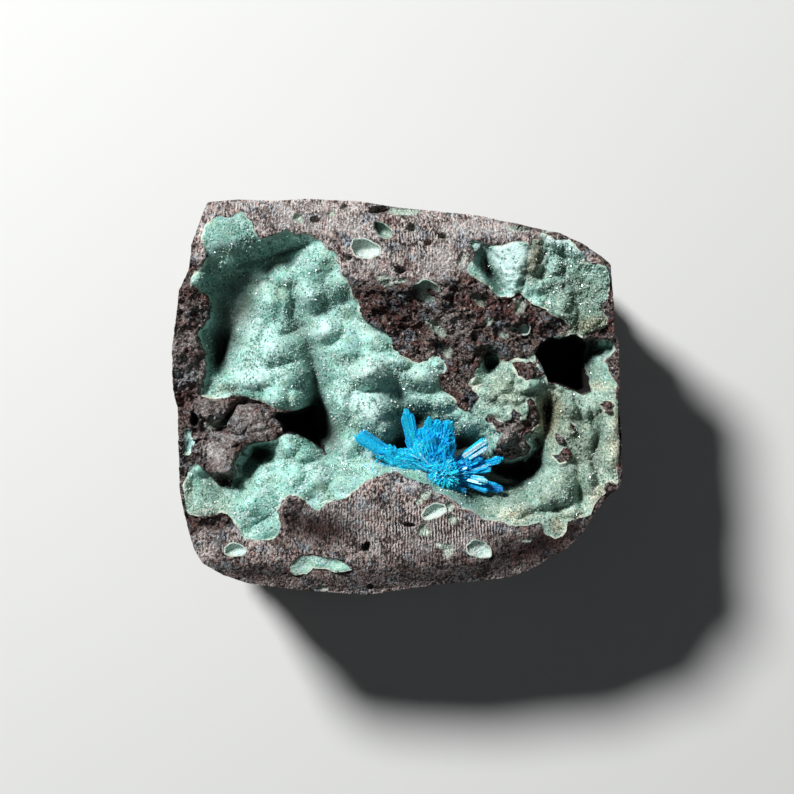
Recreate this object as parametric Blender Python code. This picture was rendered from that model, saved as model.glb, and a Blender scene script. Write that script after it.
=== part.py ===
"""Cavansite on a druse-lined block of vesicular basalt, lying on its sawn back.

Lengths below are in millimetres and become metres where a mesh is made. The front face looks up along +Z,
+Y is the specimen's upper edge, and the origin is at the middle of the sawn back. A depth is measured down
from the plane of the sawn front face.
"""

import math

import bmesh
import bpy
import numpy as np
from mathutils import Vector
from mathutils.geometry import delaunay_2d_cdt

MM = 0.001
FACE = 28.0  # height of the sawn front face above the sawn back
GAP = 0.3  # clearance that pieces keep to each other
CRUST = 1.3  # thickness of the druse crust
THIN_CRUST = 0.6  # thickness of the druse in the small vugs
STAND_OFF = 0.4  # height at which the crystals' undersides clear the crust
ABOVE = 4.0  # how far a cutter's mouth reaches above the front face
RIM = 1.4  # width over which a crust drops from its rim to its floor
BEVEL_SLOPE = 0.8  # fall of the trimmed edges, per millimetre of their width
ROCK_GRID = 2.4  # spacing of the points that carry the rock's relief
CRUST_GRID = 1.6  # spacing of the points that carry a crust's relief

# Trimmed silhouette of the block, clockwise from its sharp upper left corner: x, y, width of the edge bevel.
BLOCK = [
    (-25.3, 26.0, 1.0), (-21.0, 26.4, 1.3), (-16.7, 26.2, 1.2), (-12.3, 26.5, 1.4), (-5.0, 26.2, 1.3),
    (0.0, 25.4, 1.4), (5.0, 24.9, 2.6), (10.9, 24.3, 2.8), (15.0, 23.4, 1.6), (18.4, 22.6, 0.8),
    (21.7, 21.9, 0.7), (24.8, 20.5, 0.9), (27.2, 18.8, 0.9), (28.5, 17.7, 0.7), (28.8, 14.5, 0.7),
    (29.1, 10.5, 0.8), (29.0, 8.8, 0.7), (29.7, 7.0, 0.8), (29.7, 1.0, 0.7), (30.1, -6.0, 0.6),
    (30.1, -11.0, 0.6), (29.7, -12.1, 1.2), (27.9, -13.7, 1.2), (26.2, -15.8, 1.4), (24.8, -18.1, 1.8),
    (22.9, -20.1, 2.2), (20.5, -21.6, 2.2), (17.6, -23.2, 2.4), (14.7, -24.2, 2.6), (11.0, -24.6, 2.9),
    (7.5, -24.9, 3.1), (2.6, -25.5, 3.2), (-3.9, -26.5, 3.6), (-12.3, -25.9, 3.1), (-16.9, -25.3, 2.6),
    (-20.0, -24.9, 2.4), (-23.2, -23.8, 1.8), (-25.9, -22.2, 1.0), (-27.1, -20.3, 0.9), (-28.2, -16.3, 0.7),
    (-29.1, -12.0, 0.6), (-29.2, -6.7, 0.9), (-29.4, -1.7, 1.0), (-30.0, 1.0, 0.8), (-30.1, 6.0, 0.7),
    (-29.6, 10.2, 0.7), (-29.1, 14.3, 0.8), (-28.0, 16.6, 0.9), (-27.7, 18.0, 1.1), (-27.4, 20.4, 1.3),
    (-26.4, 23.2, 1.3),
]
# The sides below the bevels: height above the back, and how far the block has drawn in there.
BLOCK_SIDES = [(19.0, 0.5), (9.0, 0.2), (1.6, 0.9), (0.0, 2.2)]

# Where the front is broken and not sawn: x, y, depth. A spot above the saw cut is negative and ends up flat.
BROKEN = [
    # the sawn strips along the upper, left and lower edges
    (-23, 25, -2), (-12, 24, -2), (-3, 21, -3), (5, 20, -3), (8, 18.5, -1.6), (1, 17.6, -1.6),
    (-5, 17.8, -1.6),
    (16, 22.5, -2), (26, 18, -2), (28.5, 13, -1), (-27, 20, -1), (-10, 22.5, -2), (13.5, 21.4, -1),
    (-26, -18.5, -1), (-22, -18, -1), (-20, -21, -2), (-13, -17, -2), (-10, -19, -3), (0, -14, -2),
    (0, -20, -3), (8, -18, -2), (5, -14, -1), (10, -17.5, -1.2), (-3, -12.2, -0.8), (-27, -22, -1),
    # the broken band across the middle
    (-4.6, 15.2, 0.4), (0, 15.0, 0.5), (6, 15.5, 0.4), (-3, 13, 1.5), (-3.4, 11, 2.0), (0.5, 12.6, 1.9),
    (3.2, 11.2, 2.2), (0, 9, 2.6), (3.5, 8, 3.0), (7, 10, 2.4), (6, 6.4, 3.3), (9.5, 13, 1.6),
    (9.2, 8, 2.9), (8, 3, 3.2), (8.8, 0, 3.2), (12, 10.4, 2.4), (12, 7.4, 3.2), (15, 8, 3.0), (15, 11.4, 1.8),
    (18, 8, 2.8), (18.6, 10, 2.2), (21.4, 9.4, 1.9), (3.4, 5.4, 3.0),
    # the natural strip down the left side
    (-28.6, 12, 0.5), (-26.8, 12, 1.8), (-25.6, 10.5, 3.4), (-28.9, 8, 0.7), (-27.6, 6, 2.0), (-26.2, 4, 3.6),
    (-28.8, 3.2, 1.0), (-27.4, 2, 2.8), (-26.7, 0.6, 3.6), (-28.2, 0.4, 3.4), (-27.8, 16.6, 0.3),
    # the ledge with its loose-looking wedge, its cleft and the small hole behind the left rim
    (-26, -0.8, 3.2), (-24.4, -2.2, 2.2), (-22.4, -0.9, 2.8), (-27.0, -2.8, 6.0), (-23.0, -3.2, 4.8),
    (-21.2, -1.8, 5.6), (-19.6, -1.2, 4.6), (-19.8, -3.2, 2.8), (-17.6, -3.0, 2.8), (-16.6, -4.4, 2.8),
    (-19, -5.2, 2.6), (-22, -5, 2.4), (-24.4, -5, 2.0), (-26.8, -5.4, 2.2), (-26, -7, 0.9),
    (-22.8, -6.8, 0.8),
    (-24.4, -8.6, 0.6), (-22.4, -9.6, 0.8), (-23.2, -11.4, 4.6), (-28.3, -3, 1.4), (-28.2, -8, 1.6),
    # the hole beside the ledge and the hole on the right, far below which the druse ends
    (-13.4, -3.4, 9.0), (22.6, 4.4, 9.0), (21, 6.6, 6.5),
    # the lumps that stand out of the druse on the right
    (16.2, 4.0, 1.5), (18.2, 3.4, 1.8), (12.3, -3.0, 1.6), (15.9, -3.0, 1.1), (14.4, -6.4, 0.8),
    (17.8, -1.2, 1.2),
    (18.3, -3.4, 1.6), (16.4, -7.0, 1.4), (22.2, -8.0, 1.1), (28.0, -1.6, 0.5), (29.0, 4.0, 1.0),
    # the dark slope that falls away to the lower right
    (13.5, -17.8, 0.4), (17.0, -18.2, 0.9), (20.6, -19.8, 1.3), (15.0, -20.6, 1.9), (12.9, -22.4, 1.4),
    (24.8, -17.0, 1.3), (28.6, -12.2, 1.0), (19.5, -21.5, 2.6),
]

# Rim of the main crust, clockwise from the ear-shaped lobe: x, y, depth of the rim.
LINING = [
    (-25.1, 18.7, 1.2), (-25.9, 20.8, 0), (-25.5, 22.7, 0), (-24.5, 23.8, 0), (-22.2, 23.9, 0),
    (-20.7, 24.7, 0),
    (-19.1, 23.5, 0), (-18.6, 21.8, 0), (-17.2, 21.1, 0.2), (-14.4, 22.1, 0), (-10.7, 21.1, 0),
    (-9.5, 19.9, 0),
    (-8.2, 19.2, 0), (-7.3, 16.4, 0), (-6.1, 14.6, 0.6), (-4.7, 12.2, 1.5), (-5.0, 11.4, 1.8),
    (-3.6, 9.9, 2.2),
    (-1.4, 8.7, 2.5), (-0.5, 6.5, 2.8), (1.5, 5.2, 2.9), (3.0, 4.6, 3.0), (4.8, 5.6, 3.2), (6.6, 4.3, 3.2),
    (6.0, 2.6, 3.1), (5.9, 1.3, 3.1), (8.0, -0.9, 3.1), (9.0, -1.8, 2.9), (10.5, -1.2, 2.8), (10.8, 0.0, 3.0),
    (9.4, 1.8, 3.1), (10.4, 3.4, 3.2), (12.2, 5.8, 3.2), (13.5, 5.9, 3.1), (14.4, 4.8, 2.8), (17.2, 5.0, 2.6),
    (18.3, 5.8, 3.0), (19.3, 3.9, 3.0), (20.2, 1.8, 2.8), (22.1, 1.5, 3.4), (24.3, 0.4, 3.6),
    (26.2, 1.0, 4.2),
    (25.4, 3.2, 7.6), (25.2, 5.6, 9.0), (25.6, 7.2, 8.4), (28.6, 7.2, 3.6), (28.7, 5.7, 2.6),
    (27.9, 4.9, 1.8),
    (28.4, 2.8, 1.2), (29.1, 1.8, 0.8), (29.0, -3.0, 0.6), (29.4, -8.0, 0.4), (29.2, -11.3, 0.8),
    (27.8, -11.7, 1.2), (27.2, -13.1, 0.8), (25.8, -15.2, 0.8), (24.0, -16.2, 0.9), (22.6, -16.5, 1.1),
    (22.2, -18.0, 1.2), (21.0, -18.8, 1.0), (19.5, -18.1, 1.0), (18.6, -16.7, 0.6), (14.9, -17.1, 0),
    (11.4, -16.3, 0), (9.3, -15.1, 0), (7.3, -13.6, 0), (5.4, -12.9, 0), (3.6, -11.5, 0), (1.9, -11.1, 0),
    (0.0, -10.0, 0), (-3.1, -10.8, 0), (-5.3, -12.4, 0), (-6.7, -13.7, 0), (-8.7, -13.9, 0),
    (-10.2, -15.1, 0),
    (-12.0, -14.0, 0.2), (-13.4, -13.1, 0.2), (-15.2, -14.2, 0.2), (-15.6, -15.3, 0), (-15.3, -17.8, 0),
    (-16.5, -19.0, 0), (-20.6, -18.8, 0), (-21.4, -16.8, 0), (-23.2, -15.3, 0), (-27.2, -15.7, 0),
    (-28.2, -14.6, 0.2), (-28.4, -12.4, 0.6), (-27.9, -10.6, 1.6), (-26.6, -8.9, 1.8), (-25.0, -10.2, 3.4),
    (-23.7, -11.9, 4.4), (-22.2, -11.9, 4.6), (-21.7, -10.4, 4.6), (-21.0, -8.0, 3.8), (-20.0, -6.5, 3.2),
    (-16.4, -6.0, 3.6), (-14.1, -4.9, 4.2), (-11.5, -6.0, 4.4), (-9.7, -7.4, 6.0), (-10.6, -4.6, 9.0),
    (-11.0, -1.4, 8.0), (-12.4, -1.4, 4.4), (-15.2, -2.1, 3.2), (-18.3, -0.5, 3.2), (-22.1, 0.1, 3.4),
    (-26.4, 0.5, 3.8), (-25.5, 3.4, 4.0), (-25.6, 5.9, 3.4), (-26.4, 8.2, 2.8), (-25.1, 10.4, 3.6),
    (-25.1, 12.8, 3.2), (-26.6, 14.2, 1.4), (-27.4, 15.3, 0.6), (-26.4, 16.8, 0.6), (-25.5, 17.7, 1.2),
]
# Basalt lumps that stick up through the main crust.
LINING_HOLES = [
    [(15.5, 4.6, 2.4), (18.0, 4.4, 2.4), (19.2, 2.6, 2.6), (16.8, 2.3, 2.4)],
    [
        (11.7, -3.2, 2.4), (12.6, -2.4, 2.2), (13.4, -3.6, 2.2), (14.9, -3.4, 1.8), (15.4, -1.7, 1.9),
        (16.6, -2.6, 2.0), (17.4, -0.4, 1.9), (18.4, -0.6, 2.0), (19.0, -3.4, 2.6), (18.0, -4.6, 3.2),
        (17.9, -6.9, 2.4), (15.0, -8.6, 2.6), (13.0, -7.3, 2.4), (13.2, -5.0, 2.4),
    ],
    [(20.8, -7.6, 2.0), (22.6, -7.0, 2.0), (23.2, -8.2, 2.0), (21.8, -8.8, 2.0)],
    [(26.9, -0.8, 1.2), (28.4, -0.7, 1.0), (28.2, -2.2, 1.0), (27.2, -2.0, 1.2)],
]
# Floor of the main crust: x, y, depth.
LINING_FLOOR = [
    # ear lobe and the two steps below it
    (-22.5, 21.5, 0.1), (-24.5, 21.5, 0.3), (-20.3, 23.0, 0.2), (-20.0, 21.0, 0.5), (-23.2, 19.6, 0.8),
    (-21.0, 19.5, 1.0), (-22.0, 17.9, 2.6), (-18.5, 19.2, 2.8), (-15.5, 20.7, 2.4), (-13.0, 20.8, 2.2),
    (-23.8, 17.2, 4.2), (-20.8, 16.2, 5.4), (-18.0, 17.4, 5.6), (-15.0, 19.0, 5.2), (-12.5, 19.8, 3.4),
    # trough along the left wall, and the bright slope that rises out of it
    (-24.2, 15.0, 5.0), (-26.4, 15.4, 0.9), (-22.8, 13.5, 8.0), (-22.4, 11.0, 9.0), (-23.3, 8.0, 8.8),
    (-24.0, 5.0, 7.6), (-24.6, 2.8, 5.6), (-20.5, 14.5, 7.2), (-20.4, 12.0, 7.8), (-19.5, 10.0, 6.6),
    (-17.8, 12.5, 5.6), (-17.5, 15.2, 5.8), (-15.0, 14.6, 4.6), (-15.3, 12.0, 4.2), (-17.0, 8.5, 4.4),
    (-20.5, 6.5, 5.4), (-18.5, 4.5, 3.9), (-15.5, 6.0, 3.8), (-16.0, 2.5, 3.0), (-19.5, 1.4, 2.8),
    (-22.5, 1.8, 3.8), (-13.5, 2.0, 3.6), (-17.0, -0.3, 2.6), (-14.5, -1.0, 2.7),
    # domes and valleys on its right
    (-12.0, 17.7, 2.6), (-13.6, 16.2, 4.0), (-9.8, 17.6, 2.0), (-13.7, 13.0, 5.2), (-13.4, 10.5, 5.6),
    (-11.5, 13.4, 3.2), (-10.2, 12.2, 3.4), (-7.9, 14.2, 2.6), (-7.0, 11.8, 4.2), (-9.4, 8.8, 3.2),
    (-5.6, 9.6, 3.6), (-12.5, 8.3, 5.0), (-12.2, 4.5, 5.2), (-11.2, 6.0, 5.4), (-11.6, 1.5, 5.8),
    # the great dome above the crystals
    (-9.2, 4.5, 4.5), (-8.2, 6.6, 3.2), (-5.0, 6.5, 3.2), (-2.4, 7.4, 3.0), (-8.8, 1.0, 5.0),
    (-8.2, -2.5, 5.2),
    (-6.6, 2.0, 3.2), (-5.0, 3.6, 2.2), (-3.0, 4.4, 2.0), (0.5, 4.0, 2.2), (-1.5, 2.0, 3.4), (0.4, -0.8, 4.8),
    (2.5, 1.6, 3.0), (4.4, 3.4, 2.6), (4.6, 0.8, 2.9), (-4.0, -0.5, 3.0), (-6.5, -2.6, 3.8),
    (-2.5, -2.8, 2.7),
    (-1.2, -4.4, 3.4), (-6.4, -6.5, 4.8), (-4.4, -8.2, 4.8), (-8.2, -5.6, 6.4), (-9.4, -3.0, 8.4),
    (-8.2, -8.6, 4.8),
    # pit under the crystals
    (0.2, -6.2, 8.0), (2.6, -3.6, 7.6), (1.2, -8.4, 5.6), (4.0, -6.6, 7.4), (6.0, -5.0, 7.0),
    (8.3, -6.8, 8.2),
    (7.2, -2.4, 4.0), (4.4, -1.8, 4.4), (9.8, -3.4, 3.6), (5.6, -9.6, 6.4), (9.5, -9.4, 7.2),
    (10.0, -12.6, 5.6),
    (7.4, -12.2, 3.6), (3.8, -10.0, 1.8), (2.0, -10.2, 0.4), (-1.5, -9.4, 2.4), (-4.0, -10.0, 2.3),
    # lower left floor
    (-19.0, -7.6, 8.0), (-17.5, -9.0, 5.6), (-16.4, -7.2, 5.0), (-14.0, -6.2, 3.6), (-12.0, -7.5, 3.4),
    (-13.8, -9.6, 2.8), (-10.5, -9.3, 3.4), (-11.6, -11.4, 1.9), (-8.0, -10.6, 2.6), (-7.5, -12.6, 1.3),
    (-10.5, -14.0, 1.0), (-16.0, -11.6, 2.4), (-19.0, -10.4, 4.6), (-20.6, -12.4, 4.2), (-17.5, -13.5, 2.0),
    (-17.2, -16.2, 1.6), (-18.5, -17.8, 0.8), (-19.7, -16.2, 1.6), (-22.6, -13.7, 3.4), (-24.4, -12.6, 3.8),
    (-26.2, -11.2, 3.2), (-27.4, -12.7, 2.0), (-26.6, -14.6, 1.4), (-24.4, -14.6, 1.9), (-21.4, -14.9, 1.8),
    # right of the crystals, with the small black hole, the brown valley and the hollow below the lumps
    (12.5, 4.4, 8.5), (12.2, 2.6, 5.5), (11.3, 3.2, 5.0), (14.4, 3.0, 3.0), (14.5, 1.0, 2.4),
    (12.0, 0.4, 3.2),
    (16.2, 0.6, 2.2), (17.6, 1.0, 2.2), (19.4, 1.2, 2.4), (20.0, -0.6, 4.8), (20.2, -3.4, 6.0),
    (21.8, -0.4, 2.6), (22.3, -2.6, 2.6), (23.8, -0.6, 2.4), (25.4, -0.6, 1.8), (27.4, 0.4, 1.4),
    (27.0, -3.4, 1.4),
    (25.2, -2.8, 2.4), (24.0, -4.6, 2.4), (22.0, -5.4, 2.4), (20.7, -5.8, 3.0), (20.6, -9.6, 2.8),
    (19.4, -7.4, 6.0), (18.4, -9.0, 9.0), (16.8, -10.6, 10.5), (14.4, -9.9, 9.4), (12.8, -9.4, 8.2),
    (14.8, -12.4, 6.0), (12.4, -12.4, 6.2), (12.0, -7.4, 7.0), (11.8, -5.0, 4.8), (10.2, -2.4, 3.4),
    (18.0, -12.8, 4.0), (20.6, -12.0, 2.2), (22.6, -11.4, 2.3), (19.0, -14.5, 2.2), (15.6, -14.0, 3.2),
    (12.2, -14.2, 3.4), (13.2, -15.6, 1.6), (16.4, -15.8, 1.2), (19.8, -15.3, 2.2), (20.8, -17.2, 2.6),
    (21.6, -15.0, 2.2), (23.4, -14.6, 1.5), (24.3, -12.4, 2.6), (25.2, -10.4, 1.6), (26.2, -6.5, 3.0),
    (24.4, -8.0, 2.2), (27.0, -9.8, 2.6), (28.1, -7.0, 1.2), (28.1, -4.4, 1.2), (28.2, -10.4, 1.3),
    (26.0, -12.8, 1.2), (14.0, -0.8, 3.0),
    # wall on the right of the right hand hole
    (25.8, 5.4, 9.0), (26.4, 3.4, 6.6), (26.8, 6.4, 6.4), (27.2, 4.2, 4.4), (27.4, 2.4, 2.8),
    (26.6, 1.4, 3.6),
]

UPPER_RIGHT = [
    (9.3, 20.4, 0), (10.0, 20.9, 0), (12.0, 20.3, 0), (13.6, 20.0, 0), (15.3, 20.6, 0), (17.2, 20.5, 0),
    (18.4, 21.0, 0), (19.2, 21.8, 0), (21.4, 20.9, 0), (22.8, 20.9, 0), (24.9, 18.9, 0), (25.2, 18.0, 0),
    (27.6, 17.3, 0), (28.2, 15.3, 0.3), (28.0, 12.6, 0.4), (27.3, 11.4, 1.0), (28.0, 10.2, 1.2),
    (27.0, 8.9, 1.9),
    (24.6, 8.1, 2.4), (22.6, 8.4, 2.4), (20.9, 8.1, 2.2), (22.7, 8.9, 1.9), (22.4, 9.9, 1.8),
    (20.4, 10.9, 1.9),
    (18.7, 12.0, 1.4), (16.8, 13.0, 1.0), (15.6, 13.5, 0.9), (13.4, 13.0, 1.1), (12.4, 14.4, 0.8),
    (10.6, 15.5, 0.2), (9.2, 16.4, 0), (10.1, 18.6, 0),
]
UPPER_RIGHT_FLOOR = [
    (11.0, 19.4, 3.2), (12.0, 17.0, 3.8), (13.2, 15.0, 3.6), (10.6, 17.0, 1.6), (13.8, 18.6, 2.6),
    (15.6, 18.6, 1.4), (15.0, 16.4, 2.4), (16.2, 14.6, 2.2), (18.2, 20.0, 0.7), (17.8, 17.4, 1.3),
    (18.8, 16.2, 2.4), (19.4, 19.2, 2.4), (20.8, 20.6, 1.2), (21.6, 19.4, 2.2), (23.6, 19.0, 1.0),
    (20.6, 17.6, 2.2), (22.0, 15.6, 2.0), (20.2, 13.4, 1.8), (24.8, 16.4, 2.2), (26.6, 16.0, 1.6),
    (24.6, 13.6, 2.2), (22.6, 11.8, 1.4), (26.8, 13.0, 1.6), (24.6, 11.0, 2.6), (23.2, 10.0, 1.3),
    (26.0, 10.0, 1.6), (23.6, 8.8, 2.8),
]
BOTTOM_VUG = [
    (-14.4, -22.3, 0), (-13.3, -21.4, 0), (-12.2, -20.7, 0), (-10.0, -20.9, 0), (-6.8, -21.7, 0),
    (-5.9, -22.9, 0),
    (-8.2, -23.2, 0), (-10.9, -22.6, 0), (-12.0, -23.4, 0.3), (-13.7, -23.6, 0.4),
]
BOTTOM_VUG_FLOOR = [(-13.4, -22.4, 1.9), (-11.8, -21.7, 2.4), (-9.0, -21.9, 2.2), (-7.2, -22.4, 1.3)]
LEFT_PATCH = [
    (-28.1, -4.4, 1.5), (-27.3, -4.2, 2.6), (-26.9, -5.6, 2.0), (-27.1, -7.2, 1.5), (-27.9, -7.7, 1.5),
    (-28.4, -6.6, 1.4),
]
LEFT_PATCH_FLOOR = [(-27.8, -4.9, 1.5), (-27.7, -5.9, 1.9), (-27.7, -7.0, 1.5)]

# Gas bubbles that a crust lines: name, centre, half length, half width, turn in degrees, depth.
LINED_VESICLES = [
    ("half_moon", -4.2, 19.6, 2.1, 1.1, -18, 1.5), ("fracture", 3.9, 13.7, 2.1, 1.45, -28, 3.6),
    ("upper_left", -1.7, 22.0, 1.4, 0.8, -32, 1.8), ("right", 16.4, 9.1, 1.4, 0.8, 5, 3.8),
    ("lower_long", 4.9, -15.1, 1.6, 0.85, 15, 1.4), ("lower_pale", 10.8, -20.1, 1.6, 1.05, -8, 1.7),
    ("lower_left", -21.4, -20.2, 1.45, 0.75, 3, 1.2),
]
LINING_THICK = 0.35
BOWL_SIDES = 10
BOWL_RINGS = (0, 35, 65)  # degrees down a bubble's round wall at which its rings of points lie
# Bare bubbles: centre, half length, half width, turn, depth.
BARE_VESICLES = [
    (0.4, 16.8, 0.9, 0.6, -30, 2.2), (-4.1, -19.8, 0.65, 0.7, 0, 2.0), (1.6, -16.9, 0.8, 0.4, -8, 1.6),
    (-2.6, 24.7, 1.1, 0.5, 0, 1.8), (5.2, 9.2, 1.3, 0.7, -35, 4.0),
]
# Black holes that run on into the rock below the druse: rim, then depth and growth of the cavity.
HOLE_LEFT = [
    (-15.2, -3.0), (-14.2, -4.3), (-11.6, -5.2), (-10.4, -5.6), (-10.9, -3.0), (-11.6, -2.0), (-13.6, -2.3),
]
HOLE_RIGHT = [
    (19.2, 5.6), (20.4, 7.2), (23.4, 7.3), (25.6, 6.8), (25.6, 4.0), (25.8, 1.9), (24.2, 1.1), (21.4, 2.4),
    (20.2, 3.4),
]
CAVITY = [(5.0, 1.0), (10.0, 1.12), (13.5, 0.9), (15.0, 0.45)]

# A blade's cross-section, over its half width and half thickness.
LATH = [(1, 0), (0.55, 1), (-0.55, 1), (-1, 0), (-0.55, -1), (0.55, -1)]
TIP_LENGTH = 1.6  # length of a sharp tip over the blade's half width
TIP_SCALE = 0.12  # size of the sharpest tip over the blade's own section
FOOT_SCALE = 0.6  # how far a blade is drawn in at its foot
# Cavansite blades: foot, tip, half width, half thickness, how blunt the tip is (0 sharp, 1 square).
CLUSTER = [
    ((0.6, -8.6, 6.2), (-5.1, -4.9, 2.2), 1.25, 0.75, 0.75),
    ((2.6, -8.6, 6.4), (1.0, -1.4, 1.6), 1.0, 0.7, 0.05),
    ((3.0, -8.9, 6.4), (-2.4, -8.6, 3.4), 1.2, 0.8, 0.5), ((4.2, -8.8, 6.6), (3.4, -3.2, 2.6), 0.8, 0.6, 0.3),
    ((4.8, -8.8, 6.6), (4.4, -2.5, 1.6), 0.85, 0.6, 0.2), ((5.4, -8.8, 6.6), (6.0, -3.0, 1.4), 0.9, 0.6, 0.4),
    ((6.2, -8.8, 6.6), (7.4, -3.1, 1.8), 0.8, 0.6, 0.4), ((5.0, -9.0, 6.6), (5.2, -6.6, 1.2), 0.9, 0.7, 0.4),
    ((6.0, -9.6, 6.6), (6.6, -9.6, 1.4), 0.8, 0.7, 0.3), ((6.0, -9.8, 6.4), (4.6, -11.0, 1.8), 0.7, 0.5, 0.2),
    ((6.4, -9.8, 6.2), (7.2, -11.9, 1.8), 0.7, 0.5, 0.2),
    ((7.8, -9.2, 7.0), (12.1, -5.8, 2.2), 1.0, 0.6, 0.6),
    ((8.0, -9.4, 7.0), (10.4, -6.0, 2.0), 0.7, 0.5, 0.4),
    ((8.4, -9.8, 7.0), (14.1, -8.4, 2.8), 0.65, 0.5, 0.2),
    ((8.4, -10.2, 6.8), (12.4, -9.4, 2.6), 0.6, 0.45, 0.3),
    ((8.4, -10.4, 6.6), (12.2, -11.2, 3.0), 0.7, 0.5, 0.3),
    ((8.2, -10.6, 6.4), (11.8, -12.1, 3.8), 0.6, 0.45, 0.3),
]
# The knots that blades grow out of: centre, radii.
CLUSTER_CORE = [
    ((4.4, -8.9, 5.4), (2.4, 1.4, 1.5)), ((6.4, -9.8, 4.8), (1.9, 1.7, 1.8)),
    ((8.8, -9.8, 5.4), (1.8, 1.5, 1.4)),
]
TUFT = [
    ((-3.1, -9.7, 2.8), (-3.7, -9.8, 1.2), 0.4, 0.35, 0.3),
    ((-3.2, -9.7, 2.8), (-2.6, -9.2, 1.1), 0.4, 0.35, 0.3),
    ((-3.1, -9.7, 2.8), (-3.1, -10.3, 1.3), 0.4, 0.35, 0.3),
]
TUFT_CORE = [((-3.1, -9.8, 1.9), (0.55, 0.5, 0.45))]


def thin_plate(spots):
    """A function of points giving the depth of the smooth sheet that passes through all the spots."""
    spots = np.array(spots, float)
    knots, depths = spots[:, :2], spots[:, 2]

    def bending(points):
        squared = ((points[:, None] - knots) ** 2).sum(-1)
        return squared * np.log(squared + 1e-9)

    def plane(points):
        return np.column_stack([np.ones(len(points)), points])

    system = np.block([[bending(knots), plane(knots)], [plane(knots).T, np.zeros((3, 3))]])
    weights = np.linalg.solve(system, np.append(depths, np.zeros(3)))
    return lambda points: bending(points) @ weights[:-3] + plane(points) @ weights[-3:]


def edge_of(points, outlines):
    """Each point's distance to the nearest outline, positive inside, and the outline's third value there."""
    nearest = np.full(len(points), np.inf)
    value = np.zeros(len(points))
    crossings = np.zeros(len(points), int)
    for outline in outlines:
        start = np.array(outline, float)
        end = np.roll(start, -1, axis=0)
        for a, b in zip(start, end):
            side = b[:2] - a[:2]
            along = np.clip((points - a[:2]) @ side / (side @ side), 0, 1)
            distance = np.linalg.norm(points - a[:2] - along[:, None] * side, axis=1)
            closer = distance < nearest
            nearest[closer] = distance[closer]
            value[closer] = (a[2] + along * (b[2] - a[2]))[closer]
            spans = (a[1] > points[:, 1]) != (b[1] > points[:, 1])
            with np.errstate(divide="ignore", invalid="ignore"):
                meets = a[0] + (points[:, 1] - a[1]) * side[0] / side[1]
            crossings += spans & (points[:, 0] < meets)
    return np.where(crossings % 2 == 1, nearest, -nearest), value


def smooth_step(ratio):
    ratio = np.clip(ratio, 0, 1)
    return ratio * ratio * (3 - 2 * ratio)


def crust_depth(points, outlines, floor):
    """Depth of a crust's surface: its rim where it meets the rock, then its floor."""
    distance, rim = edge_of(points, outlines)
    return rim + (floor(points) - rim) * smooth_step(distance / RIM)


def under_crust(points, outlines, floor, thickness):
    """Depth of the crust's underside, which lies a thickness away from its surface in every direction."""
    deepest = crust_depth(points, outlines, floor) + thickness
    for angle in np.arange(0, 2 * math.pi, math.pi / 4):
        for reach in (0.5, 0.9):
            away = points + thickness * reach * np.array([math.cos(angle), math.sin(angle)])
            sphere = thickness * math.sqrt(1 - reach**2)
            deepest = np.maximum(deepest, crust_depth(away, outlines, floor) + sphere)
    return deepest


def triangulated(outlines, spacing, extra=()):
    """Points and triangles of the area inside the first outline and outside the others."""
    rings = [np.array(outline, float)[:, :2] for outline in outlines]
    low, high = rings[0].min(0), rings[0].max(0)
    rows = np.arange(low[1], high[1], spacing * math.sqrt(0.75))
    columns = np.arange(low[0], high[0], spacing)
    grid = np.array([(x + spacing / 2 * (i % 2), y) for i, y in enumerate(rows) for x in columns])
    inside = edge_of(grid, outlines)[0] > 0.45 * spacing
    points = [Vector(point) for point in [*np.concatenate(rings + [grid[inside]]), *extra]]
    edges, first = [], 0
    for ring in rings:
        count = len(ring)
        edges += [(first + i, first + (i + 1) % count) for i in range(count)]
        first += count
    points, _, faces, *_ = delaunay_2d_cdt(points, edges, [], 0, 1e-6)
    points = np.array(points)
    faces = np.array(faces)
    centres = points[faces].mean(1)
    return points, faces[edge_of(centres, outlines)[0] > 0]


def boundary_of(faces):
    """The triangles' sides that only one triangle has, each in that triangle's direction."""
    sides = {(face[i], face[(i + 1) % 3]) for face in faces.tolist() for i in range(3)}
    return [side for side in sides if (side[1], side[0]) not in sides]


def add_mesh(name, points, faces, material):
    mesh = bpy.data.meshes.new(name)
    mesh.from_pydata([Vector(point) * MM for point in points], [], faces)
    mesh.materials.append(material)
    obj = bpy.data.objects.new(name, mesh)
    bpy.context.scene.collection.objects.link(obj)
    body = bmesh.new()
    body.from_mesh(mesh)
    bmesh.ops.recalc_face_normals(body, faces=body.faces)
    body.to_mesh(mesh)
    body.free()
    return obj


def add_sheet(name, points, faces, top, bottom, material):
    """A closed solid between two surfaces over the same triangles: heights are above the sawn back."""
    count = len(points)
    corners = np.concatenate([np.column_stack([points, top]), np.column_stack([points, bottom])])
    walls = [(b, a, a + count, b + count) for a, b in boundary_of(faces)]
    solid = faces.tolist() + [[a + count, c + count, b + count] for a, b, c in faces.tolist()] + walls
    return add_mesh(name, corners, solid, material)


def hide(obj):
    obj.hide_render = True
    obj.display_type = "WIRE"
    return obj


def combine(obj, other, operation):
    modifier = obj.modifiers.new(other.name, "BOOLEAN")
    modifier.operation = operation
    modifier.solver = "EXACT"
    modifier.object = other


def principled(name, colour, roughness):
    material = bpy.data.materials.new(name)
    material.use_nodes = True
    shader = material.node_tree.nodes["Principled BSDF"]
    shader.inputs["Base Color"].default_value = (*colour, 1)
    shader.inputs["Roughness"].default_value = roughness
    shader.inputs["Metallic"].default_value = 0
    return material


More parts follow.
